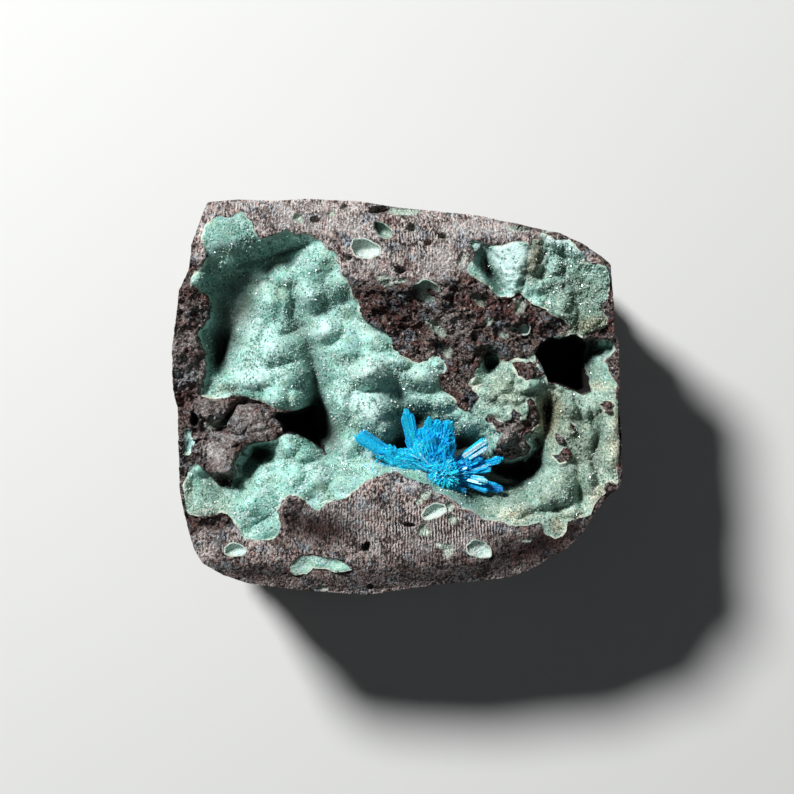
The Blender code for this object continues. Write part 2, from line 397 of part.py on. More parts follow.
def outward_of(outline):
    """Steps of one millimetre out of an outline, one at each of its points, longer at its sharp corners."""
    edge = np.array(outline, float)[:, :2]
    ahead = np.roll(edge, -1, axis=0) - edge
    normal = np.column_stack([-ahead[:, 1], ahead[:, 0]]) / np.linalg.norm(ahead, axis=1)[:, None]
    corner = normal + np.roll(normal, 1, axis=0)
    clockwise = (edge[:, 0] * ahead[:, 1] - edge[:, 1] * ahead[:, 0]).sum() < 0
    return (1 if clockwise else -1) * 2 * corner / np.maximum((corner**2).sum(1), 1.6)[:, None]


def rock_depth(points):
    """Depth of the block's front: sawn flat, broken lower in places, and bevelled along its edges."""
    distance, width = edge_of(points, [BLOCK])
    bevel = BEVEL_SLOPE * (width - distance)
    return np.maximum(np.maximum(bevel, thin_plate(BROKEN)(points)), 0)


def add_block(material):
    """The block before its cavities: the front's relief over drawn-in sides and a flat sawn back."""
    edge = np.array(BLOCK)
    outward = outward_of(BLOCK)
    crease = edge[:, :2] - outward * edge[:, 2:]
    points, faces = triangulated([BLOCK], ROCK_GRID, crease)
    layers = [np.column_stack([points, FACE - rock_depth(points)])]
    for height, drawn_in in BLOCK_SIDES:
        ring = edge[:, :2] - outward * drawn_in
        layers.append(np.column_stack([ring, np.full(len(ring), height)]))
    solid = faces.tolist()
    upper, lower = 0, len(points)
    for _ in BLOCK_SIDES:
        solid += [(upper + b, upper + a, lower + a, lower + b) for a, b in boundary_of(faces)]
        upper, lower = lower, lower + len(edge)
    solid.append(list(range(upper, lower)))
    return add_mesh("basalt_matrix", np.concatenate(layers), solid, material)


def add_crust(name, outlines, floor_spots, thickness, material):
    """A crust, the cutter that makes room for it in the rock, and the surface that crystals stand on."""
    floor = thin_plate(floor_spots)
    points, faces = triangulated(outlines, CRUST_GRID)
    top = FACE - crust_depth(points, outlines, floor)
    bottom = FACE - under_crust(points, outlines, floor, thickness)
    crust = add_sheet(name, points, faces, top, bottom, material)
    room = points.copy()
    first = 0
    for i, outline in enumerate(outlines):
        room[first : first + len(outline)] += (-GAP if i else GAP) * outward_of(outline)
        first += len(outline)
    mouth = np.full(len(top), FACE + ABOVE)
    pocket = hide(add_sheet(name + "_pocket", room, faces, mouth, bottom - 2 * GAP, material))
    return crust, pocket, (points, faces, top)


def bowl(centre, half_length, half_width, turn, depth, grow):
    """Rings of points down a half ellipsoid, grown outwards by a margin, and its lowest point."""
    cosine, sine = math.cos(math.radians(turn)), math.sin(math.radians(turn))
    rings = []
    for down in BOWL_RINGS:
        reach, fall = math.cos(math.radians(down)), math.sin(math.radians(down))
        ring = []
        for i in range(BOWL_SIDES):
            angle = -2 * math.pi * i / BOWL_SIDES
            u = (half_length + grow) * reach * math.cos(angle)
            v = (half_width + grow) * reach * math.sin(angle)
            ring.append((centre[0] + u * cosine - v * sine, centre[1] + u * sine + v * cosine))
        ring = np.array(ring)
        rings.append(np.column_stack([ring, np.full(BOWL_SIDES, -(depth + grow) * fall)]))
    return rings, np.array([[*centre, -(depth + grow)]])


def cup_faces(first, rings, pole):
    """Faces between rings of points that follow each other, closed at the lower end by a pole."""
    sides = BOWL_SIDES
    faces = []
    for k in range(rings - 1):
        upper, lower = first + k * sides, first + (k + 1) * sides
        for i in range(sides):
            j = (i + 1) % sides
            faces.append((upper + i, upper + j, lower + j, lower + i))
    return faces + [(lower + i, lower + (i + 1) % sides, pole) for i in range(sides)]


def add_vesicle(name, x, y, half_length, half_width, turn, depth, lining):
    """A gas bubble's cutter and, where a material is given, the thin crust bowl that lines the bubble."""
    sides, rings = BOWL_SIDES, len(BOWL_RINGS)
    outer, outer_pole = bowl((x, y), half_length, half_width, turn, depth, 0)
    below = np.column_stack([np.zeros((sides, 2)), FACE - rock_depth(outer[0][:, :2])])
    pole_below = [0, 0, FACE - rock_depth(np.array([[x, y]]))[0]]
    if lining:
        inner, inner_pole = bowl((x, y), half_length, half_width, turn, depth, -LINING_THICK)
        points = [ring + below for ring in outer + inner] + [outer_pole + pole_below, inner_pole + pole_below]
        pole, second = 2 * rings * sides, rings * sides
        faces = cup_faces(0, rings, pole) + cup_faces(second, rings, pole + 1)
        faces += [(i, (i + 1) % sides, second + (i + 1) % sides, second + i) for i in range(sides)]
        add_mesh(name, np.concatenate(points), faces, lining)
    cut, cut_pole = bowl((x, y), half_length, half_width, turn, depth, GAP if lining else 0)
    mouth = np.column_stack([cut[0][:, :2], np.full(sides, FACE + ABOVE)])
    points = [mouth] + [ring + below for ring in cut] + [cut_pole + pole_below]
    faces = cup_faces(0, rings + 1, (rings + 1) * sides) + [tuple(range(sides))]
    return hide(add_mesh(name + "_room", np.concatenate(points), faces, None))


def add_shaft(name, outline, sections):
    """A cavity under a hole in the druse: the hole's outline, grown or shrunk at each depth."""
    rim = np.array(outline)
    middle = rim.mean(0)
    count = len(rim)
    levels = [(-ABOVE, sections[0][1])] + sections
    layers = []
    for depth, scale in levels:
        layers.append(np.column_stack([middle + (rim - middle) * scale, np.full(count, FACE - depth)]))
    faces = [tuple(range(count)), tuple((len(levels) - 1) * count + i for i in range(count))]
    for k in range(len(levels) - 1):
        for i in range(count):
            j = (i + 1) % count
            faces.append((k * count + i, k * count + j, (k + 1) * count + j, (k + 1) * count + i))
    return hide(add_mesh(name, np.concatenate(layers), faces, None))


def add_blade(name, foot, tip, half_width, half_thickness, blunt, material):
    """One lath-shaped crystal: six long faces, drawn in at the foot and closed by a tip."""
    foot, tip = (Vector((x, y, FACE - depth)) for x, y, depth in (foot, tip))
    along = tip - foot
    side = along.cross(Vector((0, 0, 1))).normalized()
    across = side.cross(along).normalized()
    shoulder = 1 - TIP_LENGTH * half_width * (1 - blunt) / along.length
    sections = ((0, FOOT_SCALE), (shoulder, 1), (1, max(blunt, TIP_SCALE)))
    sides = len(LATH)
    points, faces = [], []
    for reach, scale in sections:
        for u, v in LATH:
            outward = side * half_width * u + across * half_thickness * v
            points.append(foot + along * reach + outward * scale)
    for first in (0, sides):
        for i in range(sides):
            j = (i + 1) % sides
            faces.append((first + i, first + j, first + sides + j, first + sides + i))
    faces += [tuple(range(sides)), tuple(range(2 * sides, 3 * sides))]
    return add_mesh(name, points, faces, material)


def add_core(name, centre, radii, material):
    """The knot of small crystals that the blades grow out of."""
    middle = Vector((centre[0], centre[1], FACE - centre[2]))
    ball = bmesh.new()
    bmesh.ops.create_icosphere(ball, subdivisions=2, radius=1)
    points = [middle + Vector(radii) * vert.co for vert in ball.verts]
    faces = [[vert.index for vert in face.verts] for face in ball.faces]
    ball.free()
    return add_mesh(name, points, faces, material)


def add_spray(name, blades, cores, ground, material):
    """Blades grown together into one solid that stands clear of the crust below it."""
    first, *others = blades
    spray = add_blade(name, *first, material)
    for i, blade in enumerate(others):
        combine(spray, hide(add_blade(f"{name}_blade_{i}", *blade, material)), "UNION")
    for i, core in enumerate(cores):
        combine(spray, hide(add_core(f"{name}_core_{i}", *core, material)), "UNION")
    combine(spray, ground, "DIFFERENCE")


for obj in list(bpy.data.objects):
    bpy.data.objects.remove(obj)

basalt = principled("basalt", (0.09, 0.065, 0.06), 0.85)
druse = principled("druse", (0.32, 0.5, 0.4), 0.6)
cavansite = principled("cavansite", (0.0, 0.28, 0.62), 0.3)

matrix = add_block(basalt)
_, pocket, (points, faces, top) = add_crust(
    "druse_lining", [LINING, *LINING_HOLES], LINING_FLOOR, CRUST, druse
)
combine(matrix, pocket, "DIFFERENCE")
for name, rim, floor, thickness in (
    ("druse_upper_right", UPPER_RIGHT, UPPER_RIGHT_FLOOR, CRUST),
    ("druse_bottom_vug", BOTTOM_VUG, BOTTOM_VUG_FLOOR, THIN_CRUST),
    ("druse_left_patch", LEFT_PATCH, LEFT_PATCH_FLOOR, THIN_CRUST),
):
    combine(matrix, add_crust(name, [rim], floor, thickness, druse)[1], "DIFFERENCE")
for name, *shape in LINED_VESICLES:
    combine(matrix, add_vesicle("vesicle_lining_" + name, *shape, druse), "DIFFERENCE")
for i, shape in enumerate(BARE_VESICLES):
    combine(matrix, add_vesicle(f"bare_vesicle_{i}", *shape, None), "DIFFERENCE")
combine(matrix, add_shaft("hole_left", HOLE_LEFT, CAVITY), "DIFFERENCE")
combine(matrix, add_shaft("hole_right", HOLE_RIGHT, CAVITY), "DIFFERENCE")

ground = hide(add_sheet("ground", points, faces, top + STAND_OFF, np.full(len(top), -ABOVE), druse))
add_spray("cavansite_cluster", CLUSTER, CLUSTER_CORE, ground, cavansite)
add_spray("cavansite_tuft", TUFT, TUFT_CORE, ground, cavansite)
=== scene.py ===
import math

import bpy
import numpy as np
from mathutils import Matrix, Vector, noise
from mathutils.bvhtree import BVHTree
from mathutils.geometry import delaunay_2d_cdt


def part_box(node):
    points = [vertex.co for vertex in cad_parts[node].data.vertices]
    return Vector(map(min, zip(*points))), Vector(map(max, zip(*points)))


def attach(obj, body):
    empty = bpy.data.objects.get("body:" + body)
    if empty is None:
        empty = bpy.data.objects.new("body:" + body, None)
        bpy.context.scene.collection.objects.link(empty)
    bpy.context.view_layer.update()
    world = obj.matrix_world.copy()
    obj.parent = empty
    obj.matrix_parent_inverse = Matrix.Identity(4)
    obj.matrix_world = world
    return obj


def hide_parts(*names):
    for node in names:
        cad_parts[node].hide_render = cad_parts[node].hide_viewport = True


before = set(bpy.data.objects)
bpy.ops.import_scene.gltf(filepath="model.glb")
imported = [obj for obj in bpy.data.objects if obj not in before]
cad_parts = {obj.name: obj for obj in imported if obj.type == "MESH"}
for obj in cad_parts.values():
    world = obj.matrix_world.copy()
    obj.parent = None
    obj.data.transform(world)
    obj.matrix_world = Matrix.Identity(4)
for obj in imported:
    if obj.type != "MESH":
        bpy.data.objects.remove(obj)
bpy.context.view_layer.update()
bpy.ops.object.select_all(action="DESELECT")

# ---------------------------------------------------------------------------------------------------------
# The block: vesicular basalt, cut with a slab saw on its front, its back and its lower side and broken
# elsewhere. Its front holds the pockets that the druse lines, so their rims are given here too.
# ---------------------------------------------------------------------------------------------------------
MM = 0.001
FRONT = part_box("basalt_matrix")[1].z / MM

# Rims of the crusts, in millimetres, each followed by the lumps of rock that stick out through it.
LINING_RIM = [
    # ear-shaped lobe and the top of the pocket
    (-25.06, 18.65), (-25.3, 19.5), (-25.8, 20.3), (-26, 21.2), (-25.7, 22), (-25.5, 22.7), (-24.8, 23.25),
    (-24.5, 23.8), (-23.7, 24.2), (-23, 24.2), (-22.6, 23.9), (-21.9, 23.9), (-21.5, 24.4), (-20.7, 24.7),
    (-20.05, 24.5), (-19.8, 23.9), (-19.1, 23.5), (-18.8, 22.85), (-18.75, 22), (-18.3, 21.3),
    (-17.75, 20.9), (-17.2, 21.1), (-16.4, 21.4), (-15.7, 21.7), (-15, 22), (-14.4, 22.15), (-13.8, 21.8),
    (-12.9, 21.7), (-11.65, 21.5), (-10.7, 21.1), (-10, 20.7), (-9.5, 19.9), (-9.05, 19.5), (-8.4, 19.4),
    (-7.9, 18.8),
    # down beside the broken band
    (-7.6, 18.1), (-7.4, 17.3), (-7.3, 16.35), (-6.75, 15.75), (-6.3, 15.3), (-6, 14.7), (-5.9, 13.9),
    (-5.7, 13.2), (-5, 12.7), (-4.6, 12.15), (-5, 11.5), (-4.7, 10.8), (-3.9, 10.1), (-3, 9.45), (-2, 9.2),
    (-1.5, 8.8), (-0.9, 8.1), (-0.6, 7.2), (-0.45, 6.4), (0, 6.1), (0.7, 5.6), (1.5, 5.2), (2.2, 4.8),
    (2.9, 4.6), (4.1, 5), (4.75, 5.6), (5.6, 5.3), (6.4, 4.8), (6.65, 3.8), (6.65, 3.2), (6, 3), (5.9, 2.5),
    (5.8, 1.5), (6.25, 0.9), (6.9, 0.5), (7.7, -0.2), (8, -0.9), (8.3, -1.4), (8.8, -1.8), (9.6, -1.8),
    (10, -1.5), (10.5, -0.7), (10.9, -0.1), (10.6, 0.4), (10, 0.95), (9.5, 1.35), (9.4, 1.8), (9.65, 2.2),
    # round the small black hole to the large one
    (10.2, 2.85), (10.5, 3.7), (11, 3.9), (11.5, 4.75), (12.1, 5.6), (12.8, 5.95), (13.4, 5.85),
    (13.7, 5.3), (14.3, 4.8), (14.9, 4.8), (15.5, 5.2), (16.15, 5.3), (16.7, 5), (17.2, 5), (17.8, 5.4),
    (18.3, 5.75), (18.7, 4.75), (19.3, 3.9), (19.8, 2.85), (20.2, 1.85), (21.2, 1.7), (22.1, 1.5),
    (22.9, 1), (23.9, 0.7), (24.5, 0.3), (25.2, 0.4), (26, 0.8), (25.7, 2), (25.3, 3.6), (25.1, 5.5),
    (25.4, 7.3), (27.4, 7.6), (28.9, 7.4), (29, 6.2), (28.5, 5.6), (27.7, 5), (28.1, 3.6), (28.6, 2.5),
    (29.2, 1.9), (29.2, 0.9),
    # down the right edge and along the lower one
    (29.3, -1), (29.25, -3), (29.45, -5.5), (29.4, -8), (29.5, -10.8), (29.2, -11.6), (28.5, -11.3),
    (27.7, -11.7), (27.65, -12.7), (27.25, -13.1), (26.7, -13.5), (26.2, -14.3), (25.9, -15), (25.6, -15.6),
    (24.8, -16), (24, -16.2), (23.3, -16.4), (22.6, -16.45), (22.5, -17.3), (22.3, -18.1), (22, -18.6),
    (21, -18.9), (20.3, -18.5), (19.5, -18.2), (19.4, -17.7), (19.1, -17), (18.7, -16.65), (18, -16.75),
    (17.4, -17), (16.3, -17.1), (14.9, -17.05), (14.1, -16.7), (13, -16.5), (11.7, -16.3), (11.1, -16.2),
    (10.6, -15.65), (9.8, -15.1), (8.8, -14.8), (8, -14.55), (7.45, -13.8), (6.6, -13.1), (6, -12.8),
    (5, -12.8), (4.6, -12.3), (4.1, -11.6), (3.4, -11.5), (2.6, -11.3), (1.9, -11.05), (1.1, -10.65),
    (0.55, -10.2), (0, -10), (-0.4, -10.1), (-0.9, -10.3), (-2, -10.4), (-3.1, -10.8), (-4.2, -11.3),
    (-5, -12.1), (-5.7, -12.7), (-6.35, -13.2), (-7, -13.75), (-7.8, -13.9), (-8.65, -13.9), (-9.3, -14.2),
    (-9.7, -14.6), (-10, -15.1), (-10.7, -15.3), (-11.5, -14.7), (-12.1, -14), (-12.75, -13.4),
    (-13.3, -13), (-14.1, -13.1), (-14.8, -13.5), (-15.2, -14.2), (-15.65, -15), (-15.6, -15.8),
    (-15.2, -16.6), (-15.2, -17.5), (-15.6, -18.35), (-16.3, -18.9), (-17.1, -19), (-18.4, -19.05),
    (-19.8, -19), (-20.6, -18.8), (-20.85, -17.8), (-21.3, -16.9), (-21.8, -16.2), (-22.6, -15.45),
    (-23.3, -15.3), (-24, -15.65), (-24.8, -15.9), (-25.9, -15.9), (-27.2, -15.65), (-28.2, -15),
    (-28.4, -14), (-28.4, -11.6),
    # below the ledge, round the left black hole and up the pocket's left wall
    (-27.6, -9.4), (-26.6, -8.7), (-25, -10.1), (-24.3, -11.2), (-23.7, -11.9), (-22.9, -12.05),
    (-22.1, -12), (-22.2, -11.3), (-21.9, -10.9), (-21.3, -10.5), (-21.6, -8.9), (-20.6, -7.1), (-20, -6.4),
    (-18.3, -6.1), (-16.4, -5.8), (-15, -4.95), (-14.1, -4.8), (-13.1, -5.1), (-12.3, -5.6), (-11.5, -6),
    (-10.7, -6.7), (-10.1, -7), (-9.6, -7.6), (-10.1, -6), (-10.8, -4), (-10.9, -2), (-11.2, -0.9),
    (-12.1, -1.3), (-13.1, -1.7), (-14.2, -1.9), (-15.2, -2.05), (-16, -1.85), (-16.8, -1.3), (-17.5, -0.9),
    (-18.3, -0.5), (-19.1, -0.35), (-20, -0.1), (-20.7, 0.1), (-22.1, 0), (-23.2, -0.2), (-24.4, -0.35),
    (-25.6, 0), (-26.5, 0.2), (-26.1, 1.3), (-25.9, 2.1), (-25.5, 3.2), (-25.4, 4.5), (-25.5, 5.7),
    (-25.9, 6.5), (-26.4, 7.4), (-26.6, 8.4), (-26.3, 9), (-25.5, 9.7), (-25.06, 10.4), (-24.9, 11.5),
    (-25, 12.6), (-25.3, 13.4), (-25.9, 13.9), (-26.6, 14.1), (-27.1, 14.45), (-27.4, 15), (-27.4, 15.8),
    (-26.8, 16.6), (-26.1, 16.9), (-25.6, 17.6),
]
LINING_LUMPS = [
    [(15.3, 4.5), (15.9, 4.75), (17, 4.5), (18, 4.65), (18.6, 3.9), (19.4, 2.9), (18.3, 2.6), (17.2, 2.2),
     (16.2, 2.9)],
    [(17.3, -0.6), (17.6, -0.2), (18.2, -0.4), (18.5, -1.4), (19.05, -2.4), (18.9, -3.6), (18.2, -4.1),
     (17.9, -4.6), (16.9, -4.8), (16.6, -5.4), (17.4, -6.2), (17.9, -6.7), (17.7, -7.4), (17, -7.9),
     (16.2, -8), (15.2, -8.5), (14.2, -8.1), (13, -7.6), (13.2, -6.7), (13.8, -5.9), (14, -4.9),
     (13.2, -4.2), (12.7, -3.4), (12, -3.5), (11.7, -2.9), (12.3, -2.3), (12.8, -2.6), (13.5, -3.5),
     (14.5, -3.3), (15.2, -2.9), (15.2, -2), (15.6, -1.6), (16.4, -2.2), (16.4, -3), (17.2, -3.1),
     (17.5, -2)],
    [(20.7, -7.7), (21.4, -7.7), (21.9, -7.1), (22.6, -7), (23.2, -8), (22.3, -8.6), (21.6, -8.8),
     (21.2, -8.3)],
    [(21.2, -5.1), (21.9, -5.4), (22.2, -5.9), (21.6, -6.1), (21.3, -5.6)],
    [(26.9, -0.95), (27.7, -0.7), (28.4, -0.7), (28.7, -1.3), (28.3, -2.2), (27.6, -1.9)],
    [(23.1, -3.6), (23.5, -3.8), (23.5, -4.2), (23.1, -4)],
]
UPPER_RIGHT_RIM = [
    (9.24, 20.3), (9.5, 20.7), (10.05, 20.95), (10.9, 20.7), (11.95, 20.3), (12.9, 20.1), (13.7, 20),
    (14.4, 20.3), (15.1, 20.6), (15.9, 20.7), (16.55, 20.7), (17.1, 20.55), (17.6, 20.4), (17.9, 20.9),
    (18.45, 21), (19, 20.8), (18.7, 21.5), (19.05, 21.8), (19.8, 21.5), (20.75, 21.2), (21.4, 20.8),
    (22, 20.95), (22.8, 20.95), (23.3, 20.4), (24, 19.7), (24.8, 19.05), (24.95, 18.4), (24.7, 18),
    (25.5, 18), (26.6, 17.7), (27.7, 17.3), (28, 16.5), (28.2, 15.4), (28.1, 14.2), (28, 13.1),
    (27.7, 12.3), (27.1, 11.5), (27.8, 10.7), (28, 10.25), (27.6, 9.3), (26.8, 8.6), (25.9, 8.2),
    (24.5, 7.8), (23.6, 8.4), (22.5, 8.1), (21.7, 7.75), (20.75, 8), (21.2, 8.1), (22.5, 8.5), (22.9, 9.3),
    (22.2, 10), (21.4, 10.5), (20.5, 10.8), (19.8, 11.5), (18.85, 12), (17.9, 12.4), (17.1, 13),
    (16.55, 13.4), (16.15, 13.8), (15.6, 13.6), (15.1, 13.2), (14.4, 13.2), (13.4, 13), (12.9, 13.4),
    (12.5, 14.05), (12.1, 14.7), (11.4, 15.1), (10.6, 15.5), (9.8, 15.8), (9.24, 16.35), (9.1, 17),
    (9.5, 17.7), (10.05, 18.5), (10.05, 19.05), (9.65, 19.45),
]
BOTTOM_VUG_RIM = [
    (-14.4, -22.2), (-13.8, -21.8), (-13.4, -21.4), (-12.9, -20.9), (-12.3, -20.7), (-11.2, -20.75),
    (-10, -20.9), (-8.5, -21.3), (-7.6, -21.45), (-6.8, -21.7), (-6.3, -22.2), (-5.9, -22.8), (-6.9, -23.1),
    (-8.1, -23.2), (-9.2, -22.8), (-10.2, -22.75), (-11.1, -22.6), (-11.5, -23), (-11.9, -23.4),
    (-12.7, -23.5), (-13.4, -23.6), (-14.1, -23.2),
]
LEFT_PATCH_RIM = [
    (-28.3, -4.4), (-27.9, -4.1), (-27.3, -4.15), (-27.05, -4.7), (-27.2, -5.3), (-26.8, -5.8),
    (-26.9, -6.6), (-27.2, -7.2), (-27.6, -7.7), (-28.1, -7.7), (-28.5, -7), (-28.3, -6.2), (-27.9, -5.6),
    (-28.3, -5),
]
CRUSTS = {
    "druse_lining": [LINING_RIM, *LINING_LUMPS],
    "druse_upper_right": [UPPER_RIGHT_RIM],
    "druse_bottom_vug": [BOTTOM_VUG_RIM],
    "druse_left_patch": [LEFT_PATCH_RIM],
}
# The black holes: two that swallow the druse and a small one in bare rock, and how far down they go.
HOLE_RIMS = [
    [(-16, -2.0), (-16.3, -2.8), (-15.8, -3.3), (-15.3, -4), (-15.2, -4.7), (-14.1, -4.9), (-12.3, -5.7),
     (-10.7, -6.8), (-9.7, -7.5), (-10.2, -6), (-10.9, -4), (-11, -2), (-11.3, -1), (-13.1, -1.8),
     (-15.2, -2.15)],
    [(18.4, 5.7), (19.1, 7), (20.3, 7.9), (22.3, 8), (23.7, 8.3), (24.5, 7.7), (25.4, 7.3), (25.1, 5.5),
     (25.3, 3.6), (25.7, 2), (26, 0.9), (24.5, 0.4), (22.9, 1.1), (21.2, 1.8), (20.2, 1.95), (19.4, 3.9)],
    [(-27.5, -1.8), (-26.9, -2.1), (-26.3, -2.9), (-26.4, -3.7), (-27, -4), (-27.5, -3.6)],
]
HOLE_DEPTHS = [14.0, 14.5, 7.0]
# Gas bubbles cut open by the saw: centre, half length, half width, turn in degrees, depth, how green inside.
BUBBLES = [
    (0.4, 16.8, 0.8, 0.5, -30, 1.8, 0), (2.0, 22.3, 0.75, 0.5, -40, 1.3, 0.3),
    (6.1, 21.2, 0.6, 0.4, -20, 1.2, 0.2), (4.2, 20.3, 0.5, 0.4, 0, 1.0, 0),
    (-6.3, 18.4, 0.5, 0.45, 0, 1.0, 0.1), (-10.7, 23.3, 0.7, 0.5, 10, 0.9, 0),
    (-13.0, 23.6, 0.65, 0.5, -40, 0.9, 0.9), (-8.7, 24.2, 0.45, 0.3, 10, 0.4, 1),
    (-2.4, 24.7, 1.5, 0.5, 0, 1.6, 0), (0.8, 24.5, 1.7, 0.45, 0, 0.6, 0.9),
    (-6.9, 25.1, 0.6, 0.35, 0, 0.7, 0.1), (5.3, 9.1, 1.3, 0.6, -35, 1.5, 0.9),
    (12.2, 10.1, 0.55, 0.5, 40, 0.7, 0.9), (14.2, 8.2, 0.5, 0.35, 0, 0.6, 1),
    (6.7, 6.0, 0.7, 0.6, 60, 0.6, 0.8), (16.3, 12.0, 0.7, 0.9, -20, 0.7, 0.8),
    (10.9, 12.9, 1.0, 0.6, -35, 0.8, 0.6), (0.4, 15.3, 0.9, 0.25, 3, 0.3, 1),
    (-1.6, 15.4, 1.1, 0.6, -10, 0.3, 0.7), (-4.1, -19.8, 0.55, 0.6, 0, 1.8, 0),
    (1.6, -16.9, 0.7, 0.35, -8, 1.4, 0), (3.6, -17.6, 0.75, 0.65, 0, 0.8, 0.9),
    (6.8, -14.55, 0.6, 0.6, 0, 0.7, 0.8), (7.2, -16.1, 0.6, 0.5, -30, 0.8, 0.8),
    (2.9, -13.75, 0.35, 0.35, 0, 0.5, 1), (3.7, -13.0, 0.7, 0.45, 30, 0.3, 0.9),
    (6.7, -20.2, 0.8, 0.7, 60, 0.5, 0.8), (5.6, -19.5, 0.6, 0.3, -20, 0.3, 1),
    (-3.5, -25.2, 0.5, 0.35, 0, 0.8, 0), (-10, -25.3, 0.6, 0.35, 0, 0.5, 0.7),
    (17.2, -19.0, 0.6, 0.2, 0, 0.3, 1), (21.5, -3.2, 0.3, 0.3, 0, 0.3, 0),
    (-24.0, -3.6, 1.5, 0.5, 10, 0.8, 0.8), (-27.5, -10.4, 0.9, 0.6, 60, 1.0, 0.3),
    (16.0, 22.2, 1.2, 0.3, -8, 0.3, 1), (19.6, 22.1, 0.6, 0.3, -15, 0.3, 1),
    (8.6, 18.2, 0.9, 0.6, 60, 0.5, 0.3),
]
# The ones that have a bowl of druse: the same, but with how olive and how white the bowl is at the end.
LINED_BUBBLES = [
    (-1.8, 22.0, 1.35, 0.72, -32, 1.6, 0.6, 0), (-4.2, 19.6, 2.0, 1.05, -18, 1.6, 0, 0.8),
    (3.9, 13.7, 2.05, 1.4, -28, 1.4, 0.55, 0.3), (16.4, 9.1, 1.35, 0.75, 5, 1.6, 0, 0.4),
    (4.9, -15.1, 1.55, 0.8, 15, 1.0, 0, 0.7), (10.8, -20.1, 1.55, 1.0, -8, 0.9, 0, 0.7),
    (-21.4, -20.2, 1.4, 0.7, 3, 1.1, 0, 0.6),
]


def smooth_step(ratio):
    """0 below 0 and 1 above 1, with an even slope between."""
    ratio = np.clip(ratio, 0, 1)
    return ratio * ratio * (3 - 2 * ratio)


def mixed(first, second, share):
    """The first at a share of 0, the second at a share of 1."""
    return first + (second - first) * share


# Maps are square grids of values over the whole front, a little larger than the block.
MAP_STEP = 0.25
MAP_X = np.arange(-31, 31.01, MAP_STEP)
MAP_Y = np.arange(-27.5, 27.51, MAP_STEP)
MAP_SHAPE = (len(MAP_Y), len(MAP_X))
MAP_POINTS = np.array([(x, y) for y in MAP_Y for x in MAP_X])


def surface_of(node):
    """A CAD node's surface in millimetres, for casting rays at."""
    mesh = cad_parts[node].data
    return BVHTree.FromPolygons([v.co / MM for v in mesh.vertices], [p.vertices[:] for p in mesh.polygons])


def heights_of(node):
    """A map of a CAD node's upper surface; nan where the node isn't."""
    surface = surface_of(node)
    hits = (surface.ray_cast(Vector((x, y, 2 * FRONT)), Vector((0, 0, -1)))[0] for x, y in MAP_POINTS)
    return np.array([hit.z if hit else np.nan for hit in hits]).reshape(MAP_SHAPE)


def blurred(values, radius):
    """A map smoothed over a radius in millimetres."""
    reach = math.ceil(3 * radius / MAP_STEP)
    weights = np.exp(-0.5 * (np.arange(-reach, reach + 1) * MAP_STEP / radius) ** 2)
    weights /= weights.sum()
    padded = np.pad(values, reach, mode="edge")
    rows = sum(w * padded[i : i + len(values)] for i, w in enumerate(weights))
    return sum(w * rows[:, i : i + values.shape[1]] for i, w in enumerate(weights))


def filled(values):
    """A map with its gaps closed by the smoothed heights round them."""
    known = np.isfinite(values)
    heights = np.where(known, values, 0)
    result, done = heights.copy(), known.copy()
    for radius in (0.4, 0.8, 1.6, 3.2, 6.4, 12.8):
        share = blurred(known.astype(float), radius)
        reached = ~done & (share > 0.02)
        result[reached] = (blurred(heights, radius) / np.maximum(share, 1e-9))[reached]
        done |= reached
    return result


def sampled(values, points):
    """A map read at any points, between its own."""
    u = np.clip((points[:, 0] - MAP_X[0]) / MAP_STEP, 0, len(MAP_X) - 1.001)
    v = np.clip((points[:, 1] - MAP_Y[0]) / MAP_STEP, 0, len(MAP_Y) - 1.001)
    i, j = u.astype(int), v.astype(int)
    u, v = u - i, v - j
    lower = values[j, i] * (1 - u) + values[j, i + 1] * u
    upper = values[j + 1, i] * (1 - u) + values[j + 1, i + 1] * u
    return lower * (1 - v) + upper * v


def inset_of(points, rings):
    """Distance from each point to the nearest ring, positive inside the first ring and outside the others."""
    nearest = np.full(len(points), np.inf)
    crossings = np.zeros(len(points), int)
    for ring in rings:
        start = np.array(ring, float)
        for a, b in zip(start, np.roll(start, -1, axis=0)):
            side = b - a
            offset = points - a
            along = np.clip(offset @ side / (side @ side), 0, 1)
            nearest = np.minimum(nearest, ((offset - along[:, None] * side) ** 2).sum(1))
            spans = (a[1] > points[:, 1]) != (b[1] > points[:, 1])
            slope = side[0] / side[1] if side[1] else 0
            crossings += spans & (points[:, 0] < a[0] + (points[:, 1] - a[1]) * slope)
    return np.where(crossings % 2 == 1, 1, -1) * np.sqrt(nearest)


def inset_near(rings):
    """A quick way to ask for the inset of many points: exact near the rings, read off a map elsewhere."""
    thinned = [ring[:: max(1, len(ring) // 400)] for ring in rings]
    coarse = inset_of(MAP_POINTS, thinned).reshape(MAP_SHAPE)

    def inset(points):
        result = sampled(coarse, points)
        close = np.abs(result) < 0.5
        result[close] = inset_of(points[close], rings)
        return result

    return inset


def wobble(turn, x, y):
    """How far a bubble's outline is from an even oval; each bubble has its own."""
    broad = 0.09 * np.sin(2 * turn + 7 * x)
    return 1 + broad + 0.07 * np.sin(3 * turn + 5 * y) + 0.04 * np.sin(7 * turn + x * y)


def bubble_ratio(points, bubble):
    """How far each point is from a bubble's centre, over the bubble's radius in that direction."""
    x, y, length, width, turn = bubble[:5]
    cosine, sine = math.cos(math.radians(turn)), math.sin(math.radians(turn))
    offset = points - (x, y)
    along = (offset[:, 0] * cosine + offset[:, 1] * sine) / length
    across = (offset[:, 1] * cosine - offset[:, 0] * sine) / width
    return np.hypot(along, across) * wobble(np.arctan2(across, along), x, y)


def spot_sum(points, spots):
    """Sum of soft spots: each is a bubble's centre, size and turn, and then its strength or height."""
    total = np.zeros(len(points))
    for spot in spots:
        total += spot[5] * np.exp(-(bubble_ratio(points, spot) ** 2))
    return total


